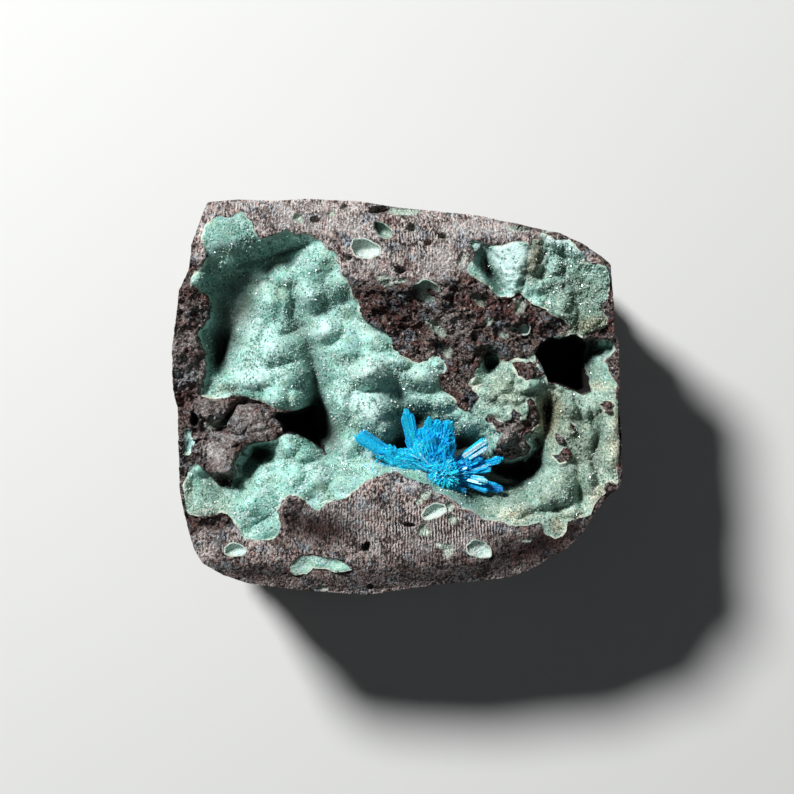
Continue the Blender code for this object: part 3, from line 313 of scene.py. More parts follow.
dice = np.random.default_rng(5)
noise.seed_set(5)  # noise_vector would start from the clock otherwise
finders = {name: inset_near(rims) for name, rims in CRUSTS.items()}
outer_finders = {name: inset_near(rims[:1]) for name, rims in CRUSTS.items()}
hole_finders = [inset_near([rim]) for rim in HOLE_RIMS]
swallowing_holes = hole_finders[:2]

# The rock's own height, also where the CAD has a pocket, a hole or a bubble in it, and the crusts' heights.
rock_map = heights_of("basalt_matrix")
opened = [find(MAP_POINTS) > -0.7 for find in finders.values()]
opened += [find(MAP_POINTS) > -0.9 for find in hole_finders]
opened += [bubble_ratio(MAP_POINTS, bubble) < 1.35 for bubble in BUBBLES + LINED_BUBBLES]
rock_map[np.any(opened, axis=0).reshape(MAP_SHAPE)] = np.nan
rock_map = blurred(filled(rock_map), 0.3)
crust_maps = {name: blurred(filled(heights_of(name)), 0.5) for name in CRUSTS}
# Caves and steep walls of the pocket: centre, half length, half width, turn, height.
CAVES = [
    (-18.6, -7.3, 2.3, 1.2, 12, -2.6), (-20.6, -8.6, 1.0, 1.2, 0, -1.6), (12.7, 4.9, 0.9, 0.8, 30, -4.5),
    (-11.0, -3.6, 1.5, 3.2, 6, -4.0), (16.0, -9.6, 3.0, 1.5, -8, -1.5), (-24.2, 5.2, 0.9, 1.6, 0, -1.0),
    (-22.6, 11.0, 1.6, 4.0, 0, 1.9), (20.1, -2.0, 1.0, 2.8, 0, -1.8), (18.6, -6.6, 0.9, 1.6, 0, -1.5),
    (11.4, -6.2, 1.4, 1.6, -20, -1.2),
]
crust_maps["druse_lining"] += spot_sum(MAP_POINTS, CAVES).reshape(MAP_SHAPE)


def rough(points, size, detail=3, seed=0.0):
    """Fractal unevenness from about -1 to 1 of lumps of a size in millimetres."""
    shift = Vector((seed, -seed, 2 * seed))
    return np.array([noise.fractal(Vector(p) / size + shift, 0.9, 2.1, detail) for p in points])


def facets(points, size, seed=0.0):
    """Tilted flats of a size in millimetres, from about -1 to 1, as broken stone and packed crystals have."""
    result = []
    shift = Vector((seed, seed, seed))
    for point in points:
        place = Vector(point) / size + shift
        _, centres = noise.voronoi(place)
        result.append(noise.cell_vector(37.7 * centres[0]).dot(place - centres[0]))
    return np.array(result)


# The block's outline: how far out its sides are in each direction, at rows of heights under its broken rim.
OUTLINE_POINTS = 660
RIM_HEIGHT = 3.3  # from the front down to the highest row
EDGE_WEAR = 0.12
FAR_OUT = 80.0
TURNS = np.linspace(0, 2 * np.pi, OUTLINE_POINTS + 1)[:-1]
ROWS = np.linspace(0.05, FRONT - RIM_HEIGHT, 36)
block_surface = surface_of("basalt_matrix")
reach = np.zeros((len(ROWS), len(TURNS)))
for j, height in enumerate(ROWS):
    for i, turn in enumerate(TURNS):
        heading = Vector((math.cos(turn), math.sin(turn), 0))
        hit = block_surface.ray_cast(FAR_OUT * heading + Vector((0, 0, height)), -heading)[0]
        reach[j, i] = math.hypot(hit.x, hit.y) if hit else np.nan
for row in reach:
    lost = ~np.isfinite(row)
    row[lost] = np.interp(TURNS[lost], TURNS[~lost], row[~lost]) if lost.any() else 0
widest = reach.max(0)
headings = np.stack((np.cos(TURNS), np.sin(TURNS)), 1)
unevenness = 0.12 * np.abs(rough(np.c_[headings * 30, 0 * TURNS], 1.1))
block_ring = headings * (widest - EDGE_WEAR - unevenness)[:, None]
block_inset = inset_near([block_ring])

# Greyish white rock flour left by the saw, partly painted light where the rock lies in shade, as on the broken
# ledge and the island: centre, half length, half width, turn, strength.
DUST_AND_PAINTED_LIGHT = [
    (-27.6, 5.6, 1.6, 4.6, 0, 0.6), (7.0, 9.6, 2.6, 1.6, -30, 0.5), (-18.4, -2.6, 2.6, 1.4, -20, 0.5),
    (-8.4, 22.6, 3.4, 1.6, -10, 1.0), (6.0, 18.0, 2.0, 1.8, 40, 1.0), (-14.2, 24.4, 2.8, 1.0, 0, 1.0),
    (1.8, 18.6, 1.2, 0.9, 0, 0.6), (-19.5, 25.3, 2.4, 0.6, 0, 0.8), (9.6, 22.4, 3.0, 1.0, -8, 0.8),
    (-3.8, 17.2, 1.6, 1.0, 10, 0.6), (-14.6, 22.8, 1.6, 0.6, 0, 0.9), (11.0, 17.6, 1.6, 1.4, 0, 0.7),
    (15.5, 22.2, 2.4, 0.6, -10, 0.9), (-8.0, 25.2, 3.4, 0.8, 0, 0.8), (-24.4, 24.6, 1.8, 0.8, 0, 0.5),
    (-24.1, -7.2, 2.0, 1.5, 10, 1.9), (-23.0, -9.0, 1.6, 1.2, 0, 0.9), (-25.0, -1.6, 2.2, 1.3, 0, 0.8),
    (-20.4, -2.4, 1.8, 2.0, 0, 0.9), (-18.0, -4.4, 1.6, 1.2, 0, 0.7), (-22.8, -5.4, 2.4, 0.7, 0, 0.8),
    (14.6, -5.0, 1.8, 2.6, 20, 0.7), (13.6, 2.0, 1.4, 1.2, 0, 0.5), (-17.6, -3.6, 1.4, 1.4, 0, 0.5),
    (-25.2, -5.0, 1.6, 0.6, 10, 0.9), (-24.6, -16.6, 1.2, 0.7, 20, 1.0), (-24.5, -20.5, 2.0, 0.8, 60, 0.6),
    (-3.4, 15.0, 2.4, 0.3, 3, 0.9), (3.4, -18.4, 1.6, 2.0, 10, 0.9), (-5.0, -15.5, 2.4, 1.2, 0, 0.4),
    (9.6, -18.8, 1.4, 1.4, 0, 0.6), (5.4, 15.7, 2.0, 0.3, 0, 0.9), (16.6, -22.8, 1.4, 0.25, 15, 0.9),
    (14.0, 24.0, 2.4, 0.4, -12, 0.9), (7.2, 8.2, 1.0, 0.6, 20, 0.6), (-15.0, -19.6, 1.6, 0.6, 0, 0.4),
]
# Where the rock is darker, iron stained and oily, and painted shade along the lower edge, which faces away from
# the lamp, in the same way.
SOOT_AND_PAINTED_SHADE = [
    (0.0, -23.6, 22.0, 2.2, 1, 0.65), (-10.0, -17.4, 5.2, 3.0, 0, 1.0), (-14.0, -15.4, 1.8, 1.8, 0, 0.5),
    (3.0, -18.0, 6.0, 3.0, 0, 0.25), (15.0, -20.6, 7.0, 2.4, 12, 0.6), (-24.0, -17.2, 3.0, 1.6, 0, 0.5),
    (-1.6, -13.4, 3.0, 1.6, 0, 0.3), (-2.6, 13.6, 3.0, 1.4, 0, 0.4), (1.6, 11.0, 4.0, 1.8, -20, 0.35),
    (-18.0, -22.6, 6.0, 1.6, 0, 0.5), (8.0, 6.8, 2.0, 1.2, 0, 0.3), (22.0, -17.4, 6.0, 3.0, 28, 0.9),
]
# Where the saw left clear parallel lines, in the same way.
SAW_MARKS = [
    (3.4, -18.0, 6.5, 3.6, 0, 1.0), (-7.0, -16.6, 3.5, 3.0, 0, 0.45), (1.5, 20.0, 7.0, 3.4, 0, 0.28),
    (13.0, 23.0, 5.0, 1.6, -10, 0.2), (-9.0, 24.0, 6.0, 1.6, 0, 0.3), (12.0, -17.6, 3.0, 1.4, 0, 0.5),
    (-22.0, 25.0, 5.0, 1.0, 0, 0.3),
]
# Chunks and clefts of the broken rock: centre, half length, half width, turn, height.
ROCK_SWELLS = [
    (-22.4, -2.6, 2.2, 0.55, 52, -2.6), (8.8, 12.4, 2.2, 1.2, -30, 0.7), (14.6, 10.8, 2.0, 0.9, -25, 0.6),
    (1.2, 8.6, 1.6, 1.3, 20, -0.9), (-2.0, 12.4, 2.2, 1.0, 10, 0.6), (5.6, 7.8, 2.0, 0.8, -30, 0.7),
    (10.4, 6.6, 1.2, 1.0, 0, 0.5), (-9.6, -16.6, 1.4, 1.0, 0, -0.3), (-13.6, -16.0, 1.6, 1.6, 0, -0.5),
    (7.8, 4.0, 1.6, 1.4, 0, 0.5), (8.8, -0.2, 1.2, 1.0, 0, 0.5), (12.6, 4.9, 1.1, 1.2, 0, -7.0),
    (17.4, 3.6, 1.6, 1.0, 0, 0.6), (-24.4, -17.0, 1.6, 0.9, 20, -0.4), (-23.0, -11.0, 1.6, 0.9, -30, -1.6),
    (15.0, -5.8, 1.5, 1.6, 0, 1.3),
]
# Flat faces that the broken rock ends in: depth of the middle, slopes along x and y, outline.
FLATS = [
    (1.9, (-0.25, 0.3), [
        (-27.1, -0.7), (-25.2, -0.2), (-22.4, -0.7), (-22.0, -1.3), (-23.6, -3.3), (-24.6, -3.8),
        (-26.3, -2.4)]),
    (1.3, (0.24, -0.28), [
        (-26.1, -6.4), (-24.9, -5.6), (-22.7, -5.8), (-21.3, -7.3), (-21.9, -9.5), (-22.3, -10.3),
        (-24.9, -10.1), (-26.0, -8.6)]),
    (2.2, (-0.1, -0.2), [
        (-21.3, -1.0), (-18.5, -1.0), (-19.3, -3.2), (-20.6, -5.2), (-22.2, -4.8), (-22.8, -3.6)]),
    (2.7, (-0.3, 0.12), [
        (-18.9, -0.9), (-16.9, -1.9), (-15.5, -4.4), (-17.0, -5.8), (-20.3, -5.6), (-19.8, -3.1)]),
    (0.9, (-0.3, 0.3), [
        (-15.0, -13.9), (-13.2, -13.5), (-12.2, -14.6), (-12.6, -16.6), (-14.4, -16.9), (-15.0, -15.6)]),
]
# How deep each bubble is scooped out of the rock: the greener, the more druse is left in it.
SCOOPS = [(bubble, bubble[5] * (1.25 - 0.65 * bubble[6])) for bubble in BUBBLES]
SCOOPS += [(bubble, bubble[5] * 1.25) for bubble in LINED_BUBBLES]


def sawn_share(points, depth):
    """1 where the surface was cut or ground flat, 0 where it is broken."""
    x, y = points.T
    trimmed = (np.abs(y) > 20.4) * smooth_step((4.2 - block_inset(points)) / 1.2) * (x < 15)
    slope = 0.8 * smooth_step((-13.6 - y) / 1.2) * smooth_step((x - 9) / 1.5)
    return np.max([1 - smooth_step((depth - 0.12) / 0.5), trimmed, slope], axis=0)


def rock_height(points, detailed=True):
    """Height of the basalt's front surface, under the crusts too."""
    height = sampled(rock_map, points)
    bare = np.ones(len(points))
    by_hole = smooth_step((np.max([find(points) for find in swallowing_holes], axis=0) + 1.4) / 0.6)
    for name, find in outer_finders.items():
        outer = find(points)
        inside = finders[name](points)
        crust = np.minimum(sampled(crust_maps[name], points), FRONT)
        sinking = 1.05 * smooth_step((inside + 0.1) / 0.9)
        island = crust + 0.15 - sinking - 1.2 * smooth_step((inside - 0.8) / 1.2)
        bare *= 1 - smooth_step(inside / 0.6)
        height = mixed(height, island, smooth_step((outer + 0.3 + 0.6 * by_hole) / 0.8))
    for find, depth in zip(hole_finders, HOLE_DEPTHS):
        height = mixed(height, FRONT - depth, smooth_step((find(points) + 0.1) / 0.9))
    height = height + spot_sum(points, ROCK_SWELLS)
    for middle, slopes, outline in FLATS:
        offset = points - np.mean(outline, axis=0)
        near = np.abs(offset).max(1) < 4.5
        share = np.zeros(len(points))
        share[near] = smooth_step((inset_of(points[near], [outline]) + 0.1) / 0.35)
        height = mixed(height, FRONT - middle + offset @ slopes, share)
        bare *= 1 - 0.5 * share
    if detailed:
        broken = bare * (1 - sawn_share(points, FRONT - height))
        even = bare - broken
        spots = np.c_[points, 0.8 * height]
        chunks = 0.55 * rough(spots, 3.2, 4) + 0.65 * facets(spots, 2.3) + 0.5 * rough(spots, 1.3, 3, 17.0)
        chunks = chunks + 0.3 * facets(spots, 1.0, 9) + 0.13 * rough(spots, 0.5, 2, 23.0)
        height = height + broken * chunks
        height -= even * 0.45 * np.maximum(0, rough(spots, 0.7, 2, 4.0) - 0.4)
        height -= even * (0.07 * np.abs(rough(spots, 0.4, 2, 2.0)) + 0.06 * dice.random(len(points)))
        height -= broken * 0.07 * dice.random(len(points))
    for bubble, deep in SCOOPS:
        ratio = bubble_ratio(points, bubble)
        near = ratio < 1.25
        bowl = np.sqrt(np.maximum(0, 1 - ratio[near] ** 2)) * deep
        height[near] -= bowl + 0.12 * np.exp(-(((ratio[near] - 1) / 0.12) ** 2))
    return height


def ring_edges(rings):
    """Each ring's edges as pairs of point numbers, with the rings' points counted one after another."""
    edges, first = [], 0
    for ring in rings:
        edges += [(first + i, first + (i + 1) % len(ring)) for i in range(len(ring))]
        first += len(ring)
    return edges


def triangulated(rings, inset, spacings, fine_where=None):
    """Triangles inside the first ring and outside the others; points are dense where fine_where is true."""
    low, high = rings[0].min(0), rings[0].max(0)
    kept = list(rings)
    for spacing in spacings:
        rows = np.arange(low[1], high[1], spacing * math.sqrt(0.75))
        columns = np.arange(low[0], high[0], spacing)
        grid = np.array([(x + spacing / 2 * (i % 2), y) for i, y in enumerate(rows) for x in columns])
        grid += 0.25 * spacing * (dice.random(grid.shape) - 0.5)
        grid = grid[inset(grid) > 0.55 * spacing]
        if fine_where:
            grid = grid[fine_where(grid) == (spacing == spacings[0])]
        kept.append(grid)
    corners = [Vector(p) for p in np.concatenate(kept)]
    points, _, faces, *_ = delaunay_2d_cdt(corners, ring_edges(rings), [], 0, 1e-7)
    points, faces = np.array(points), np.array(faces)
    return points, faces[inset(points[faces].mean(1)) > 0]


def exposed(points):
    """True where no crust hides the rock."""
    return np.all([find(points) < 0.7 for find in finders.values()], axis=0)


# Spacing of the front's points where the rock shows and where a crust hides it.
SHOWN_GRAIN, HIDDEN_GRAIN = 0.225, 1.3
flat, front_faces = triangulated([block_ring], block_inset, (SHOWN_GRAIN, HIDDEN_GRAIN), exposed)
heights = rock_height(flat)
edge = len(block_ring)
front_points = np.c_[flat, np.minimum(heights, FRONT)]

# Sides: rows of points from the front edge down to the sawn back, chipped by blows and pitted by bubbles.
SIDE_ROWS = 78
CHIP_SCARS = 34
PITS = 150
LINED_PIT = 1.0  # radius from which a pit is lined with druse
falls = np.linspace(0, 1, SIDE_ROWS + 1)[1:]
around = np.arange(edge)
rows = []
for fall in falls:
    height = front_points[:edge, 2] * (1 - fall)
    place = np.clip((height - ROWS[0]) / (ROWS[1] - ROWS[0]), 0, len(ROWS) - 1.001)
    below = place.astype(int)
    radius = mixed(reach[below, around], reach[below + 1, around], place - below)
    rows.append(np.c_[headings * (np.minimum(radius, widest) - EDGE_WEAR)[:, None], height])
sides = np.concatenate(rows)
weights = np.repeat(np.minimum(1, np.minimum(falls * 9, (1 - falls) * 14)), edge)
outward = np.tile(headings, (SIDE_ROWS, 1))
cut_side = smooth_step((-outward[:, 1] - 0.8 + 0.1 * rough(sides, 5.0, 2, 3.0)) / 0.06)
push = 0.9 * rough(sides, 6.5, 3) + 0.9 * facets(sides, 5.0)
push = push + 0.4 * facets(sides, 1.8, 3) + 0.13 * facets(sides, 0.8, 5) - 0.75
scars = np.zeros(len(sides))
for _ in range(CHIP_SCARS):
    centre = sides[dice.integers(len(sides))]
    size = 3.0 + 5.0 * dice.random()
    away = np.linalg.norm((sides - centre) / (1, 1, 0.8), axis=1) / size
    scars = np.maximum(scars, (0.8 + 1.4 * dice.random()) * np.maximum(0, 1 - away**2))
push = (np.minimum(push, 0.15) - scars) * (1 - 0.94 * cut_side)
pits = np.zeros(len(sides))
lined = np.zeros(len(sides))
for _ in range(PITS):
    centre = sides[dice.integers(len(sides))]
    size = 0.35 + 1.6 * dice.random() ** 4
    away = np.linalg.norm((sides - centre) / (1, 1, 0.75), axis=1) / size
    pits = np.maximum(pits, np.sqrt(np.maximum(0, 1 - away**2)) * size * 0.9)
    lined = np.maximum(lined, (size > LINED_PIT) * smooth_step((0.98 - away) / 0.12))
sides[:, :2] += outward * (weights * (push - pits))[:, None]
sides[-edge:, 2] = 0

# Back: flat, inside the lowest row of the sides.
BACK_GRAIN = 0.9
back_ring = sides[-edge:, :2]
back_flat, back_faces = triangulated([back_ring], inset_near([back_ring]), (BACK_GRAIN,))
back_points = np.c_[back_flat[edge:], np.zeros(len(back_flat) - edge)]

first_side = len(front_points)
first_back = first_side + len(sides)
following = np.roll(around, -1)
faces = front_faces.tolist()
for row in range(SIDE_ROWS):
    upper = first_side + (row - 1) * edge if row else 0
    lower = first_side + row * edge
    faces += np.stack((upper + around, lower + around, lower + following, upper + following), 1).tolist()
faces += (first_back - edge + back_faces[:, ::-1]).tolist()


def on_block(front, side, back):
    """Values at all the block's points: its front's, its sides' and one for its back."""
    return np.concatenate((front, np.broadcast_to(side, len(sides)), np.full(len(back_points), back)))


front_sawn = sawn_share(flat, FRONT - sampled(rock_map, flat))
speckle = rough(np.c_[flat, heights], 0.5, 2)
front_green = np.zeros(len(flat))
for bubble in BUBBLES:
    ratio = bubble_ratio(flat, bubble) + 0.5 * speckle
    front_green = np.maximum(front_green, min(1, 1.15 * bubble[6]) * smooth_step((1.2 - ratio) / 0.25))
# Rock flour, partly painted light where the rock lies in shade.
front_dust_and_painted_light = np.max([spot_sum(flat, [spot]) for spot in DUST_AND_PAINTED_LIGHT], axis=0)
# Darker rock, partly painted shade along the lower edge.
front_soot_and_painted_shade = np.minimum(1, spot_sum(flat, SOOT_AND_PAINTED_SHADE))
front_marks = np.minimum(1, spot_sum(flat, SAW_MARKS))
# Depth below the sawn face, which the material paints as shade; inside the holes it is raised so that they are
# painted black.
in_hole = np.max([smooth_step((find(flat) + 0.15) / 0.3) for find in hole_finders], axis=0)
front_deep = np.where(block_inset(flat) > 2, FRONT - heights, 0) + 9 * in_hole
side_dust = 1.5 * np.maximum(0, rough(sides, 6.0, 3, 12.0) - 0.1)
side_soot = 0.15 + 1.3 * np.maximum(0, rough(sides, 8.0, 3, 8.0))


def new_piece(name, points, faces, *attributes, smooth=False):
    """A mesh object in millimetres, with values for its material at the points, riding on the block."""
    mesh = bpy.data.meshes.new(name)
    mesh.from_pydata((np.array(points) * MM).tolist(), [], [[int(i) for i in face] for face in faces])
    for label, values in attributes:
        layer = mesh.attributes.new(label, "FLOAT", "POINT")
        layer.data.foreach_set("value", np.array(values, np.float32))
    mesh.polygons.foreach_set("use_smooth", [smooth] * len(mesh.polygons))
    obj = bpy.data.objects.new(name, mesh)
    bpy.context.collection.objects.link(obj)
    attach(obj, "root")
    return obj


basalt_block = new_piece(
    "basalt_block", np.concatenate((front_points, sides, back_points)), faces,
    ("sawn", on_block(front_sawn, cut_side, 1)),
    ("green", on_block(front_green, 0.8 * lined, 0)),
    ("dust_and_painted_light", on_block(front_dust_and_painted_light, side_dust, 0)),
    ("soot_and_painted_shade", on_block(front_soot_and_painted_shade, side_soot, 0.2)),
    ("marks", on_block(front_marks, 0.3 + 0.7 * cut_side, 0.8)),
    ("deep", on_block(front_deep, 0, 0)),
)
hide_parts("basalt_matrix")


def colour(text):
    """A colour as it is seen, in sRGB hex, turned into the linear values that a shader takes."""
    parts = [int(text[i : i + 2], 16) / 255 for i in (0, 2, 4)]
    return tuple(c / 12.92 if c <= 0.04045 else ((c + 0.055) / 1.055) ** 2.4 for c in parts) + (1.0,)


def add_node(tree, kind, inputs=(), output=0, **settings):
    """A shader node's output; its inputs, by name or in order, are values, hex colours or other outputs."""
    node = tree.nodes.new("ShaderNode" + kind)
    for setting, value in settings.items():
        setattr(node, setting, value)
    for socket, value in (inputs if isinstance(inputs, dict) else dict(enumerate(inputs))).items():
        if isinstance(value, bpy.types.NodeSocket):
            tree.links.new(value, node.inputs[socket])
        else:
            node.inputs[socket].default_value = colour(value) if isinstance(value, str) else value
    return node.outputs[output]


def new_material(name, *attributes):
    """A material, its nodes and shader, the place in millimetres, and the values that its pieces carry."""
    material = bpy.data.materials.new(name)
    material.use_nodes = True
    tree = material.node_tree
    metres = add_node(tree, "TexCoord", output="Object")
    millimetres = add_node(tree, "Mapping", {"Vector": metres, "Scale": (1000, 1000, 1000)})
    values = [add_node(tree, "Attribute", output="Fac", attribute_name=label) for label in attributes]
    return material, tree, tree.nodes["Principled BSDF"], millimetres, *values


def pattern(tree, place, size, detail=4.0, roughness=0.6, stretch=(1, 1, 1), kind="TexNoise", output=0):
    """A texture of a size in millimetres, drawn out along the axes whose stretch is more than 1."""
    place = add_node(tree, "Mapping", {"Vector": place, "Scale": tuple(1 / (size * s) for s in stretch)})
    inputs = {"Vector": place, "Scale": 1.0, "Detail": detail, "Roughness": roughness}
    return add_node(tree, kind, inputs, output)


def speckled(tree, place, size, stretch=(1, 1, 1)):
    """A random value from 0 to 1 for each grain of a size in millimetres."""
    cells = pattern(tree, place, size, 0.0, stretch=stretch, kind="TexVoronoi", output="Color")
    return add_node(tree, "SeparateColor", (cells,))


def weighted(tree, total, *terms):
    """A number plus values times their weights."""
    for value, weight in terms:
        total = add_node(tree, "Math", (value, weight, total), operation="MULTIPLY_ADD")
    return total


def product(tree, total, *values):
    """Values multiplied with each other."""
    for value in values:
        total = add_node(tree, "Math", (total, value), operation="MULTIPLY")
    return total


def layered(tree, tint, layers, grain=None, blend="MIX"):
    """A tint with others over it. A layer is a value, where it starts and where it is full, how much it then
    covers, and its colour, or its dark and its pale colour, which the grain runs between."""
    for value, start, full, strength, cover, *pale in layers:
        if pale:
            cover = layered(tree, cover, [(grain, 0, 1, 1, pale[0])])
        share = add_node(tree, "MapRange", (value, start, full, 0, strength))
        tint = add_node(tree, "Mix", {0: share, 6: tint, 7: cover}, 2, data_type="RGBA", blend_type=blend)
    return tint


def set_surface(tree, shader, tint, sockets, relief=None, height=0.0, strength=1.0):
    """Gives a shader its colour, its plain values and, if it has any, relief of a height in millimetres."""
    tree.links.new(tint, shader.inputs["Base Color"])
    for socket, value in sockets.items():
        shader.inputs[socket].default_value = value
    if relief is not None:
        bump = add_node(tree, "Bump", {"Height": relief, "Strength": strength, "Distance": height * MM})
        tree.links.new(bump, shader.inputs["Normal"])


# Basalt: dull, fine-grained lava. Broken, it is dark and cindery in brown, rust red and blue-grey grains. Sawn,
# it is paler and pinker, with fine parallel lines, drawn a little coarser than real ones so that they show.
SAW_LINE_TURN = 15.6  # radians per millimetre, which makes a line every 0.4 mm
SAW_LINE_WAVER = 12.0
basalt, tree, shader, place, sawn, green, dust_and_painted_light, soot_and_painted_shade, marks, deep = new_material(
    "vesicular basalt", "sawn", "green", "dust_and_painted_light", "soot_and_painted_shade", "marks", "deep")
turned = add_node(tree, "Mapping", {"Vector": place, "Rotation": (0.3, 0.2, 0.6)})
crossed = add_node(tree, "Mapping", {"Vector": place, "Rotation": (0.2, -0.4, -0.9)})
patches = pattern(tree, turned, 3.0, 6.0, 0.72, (1.8, 1, 1))
blue = pattern(tree, turned, 2.2, 6.0, 0.74, (2.0, 1, 1))
pale = pattern(tree, turned, 1.7, 6.0, 0.76, (1.6, 1, 1))
clusters = pattern(tree, place, 1.2, 3.0, 0.65, (1, 1.5, 1))
streaks = pattern(tree, place, 0.45, 4.0, 0.7, (1, 6, 1))
turned_grain = pattern(tree, turned, 0.32, 4.0, 0.7, (1.7, 1, 1))
crossed_grain = pattern(tree, crossed, 0.32, 4.0, 0.7, (1.7, 1, 1))
grain = layered(tree, turned_grain, [(patches, 0.46, 0.54, 1, crossed_grain)])
specks = speckled(tree, place, 0.2, (1, 1.4, 1))
mottle = weighted(tree, -1.35, (specks, 0.3), (grain, 3.4))
crisp = add_node(tree, "MapRange", (mottle, 0.25, 0.8))
stone = layered(tree, "0A0706", [
    (crisp, 0, 1, 1, "B8A49C"),
    (patches, 0.47, 0.55, 0.85, "180706", "A0645A"),
    (blue, 0.52, 0.6, 0.85, "070A0D", "A2B6C4"),
    (pale, 0.58, 0.66, 0.85, "4E4640", "FAF6F0"),
    (pale, 0.43, 0.36, 0.75, "0A0706"),
], crisp)

across = add_node(tree, "SeparateXYZ", (place,), "X")
line_phase = weighted(tree, 0, (pattern(tree, place, 1.6, 2.0), SAW_LINE_WAVER), (across, SAW_LINE_TURN))
line_wave = add_node(tree, "Math", (line_phase,), operation="SINE")
saw_lines = product(tree, line_wave, marks, add_node(tree, "MapRange", (clusters, 0.36, 0.56)))
sawn_grain = pattern(tree, place, 0.3, 3.0, 0.7, (1, 1.7, 1))
sawn_mottle = weighted(tree, -0.25, (saw_lines, 0.16), (clusters, 0.5), (sawn_grain, 1))
sawn_crisp = add_node(tree, "MapRange", (sawn_mottle, 0.41, 0.61))
sawn_stone = layered(tree, "261814", [
    (sawn_crisp, 0, 1, 1, "F6EAE4"),
    (streaks, 0.5, 0.6, 0.7, "3C201B", "E0A294"),
    (patches, 0.47, 0.39, 0.8, "0A0605", "98766A"),
    (blue, 0.52, 0.6, 0.8, "26303A", "C2D4E0"),
    (pale, 0.54, 0.62, 0.85, "8A807C", "FFFFFF"),
    (saw_lines, 0, 1, 0.6, "F4F0EE"),
    (saw_lines, 0, -1, 0.7, "1C1211"),
], sawn_crisp)

# The flour is rock dust and, on the ledge and the island, painted light.
flour_and_painted_light = product(tree, dust_and_painted_light, add_node(tree, "MapRange", (pale, 0.4, 0.52, 0, 0.85)))
# Painted glints: a few single grains are painted near white, as light flashing off them.
painted_glint_specks = add_node(tree, "MapRange", (specks, 0.94, 0.95))
painted_glint_grains = product(tree, painted_glint_specks, add_node(tree, "MapRange", (clusters, 0.45, 0.56, 0, 0.9)))
stone = layered(tree, stone, [
    (sawn, 0, 1, 1, sawn_stone),
    (flour_and_painted_light, 0, 1, 1, "B6A8A0", "FFFFFF"),
    (painted_glint_grains, 0, 1, 1, "EEF0EC"),
], crisp)
# Darker rock, and painted shade along the lower edge.
stone = layered(tree, stone, [(soot_and_painted_shade, 0, 1, 1, "4E3833")], blend="MULTIPLY")
# Painted shade: deep in the pockets and holes the rock is painted nearly black.
stone = layered(tree, stone, [(green, 0, 1, 1, "9AB8A4", "F4FFF2"), (deep, 5.5, 9.0, 0.96, "060505")], specks)

fine_lines = pattern(tree, place, 0.15, 1.0, 0.5, (1, 30, 1))
sawn_relief = weighted(tree, 0, (sawn_grain, 1), (fine_lines, 0.3), (saw_lines, 0.2))
broken_relief = weighted(tree, 0, (grain, 1.9), (specks, 0.35))
relief = layered(tree, broken_relief, [(sawn, 0, 1, 1, sawn_relief)])
set_surface(tree, shader, stone, {"Roughness": 0.72, "Specular IOR Level": 0.35}, relief, 0.9)
basalt_block.data.materials.append(basalt)

# ---------------------------------------------------------------------------------------------------------
# The mint green druse: crusts of tiny zeolite crystals that grew on the rock in the pockets. The saw cut
# their edges, so these show a paler section.
# ---------------------------------------------------------------------------------------------------------
CRUST_GRAIN, UNDERSIDE_GRAIN = 0.215, 1.4  # spacing of the crusts' points above and below
RIM_SPACING, RIM_ROUGHNESS = 0.2, 0.13
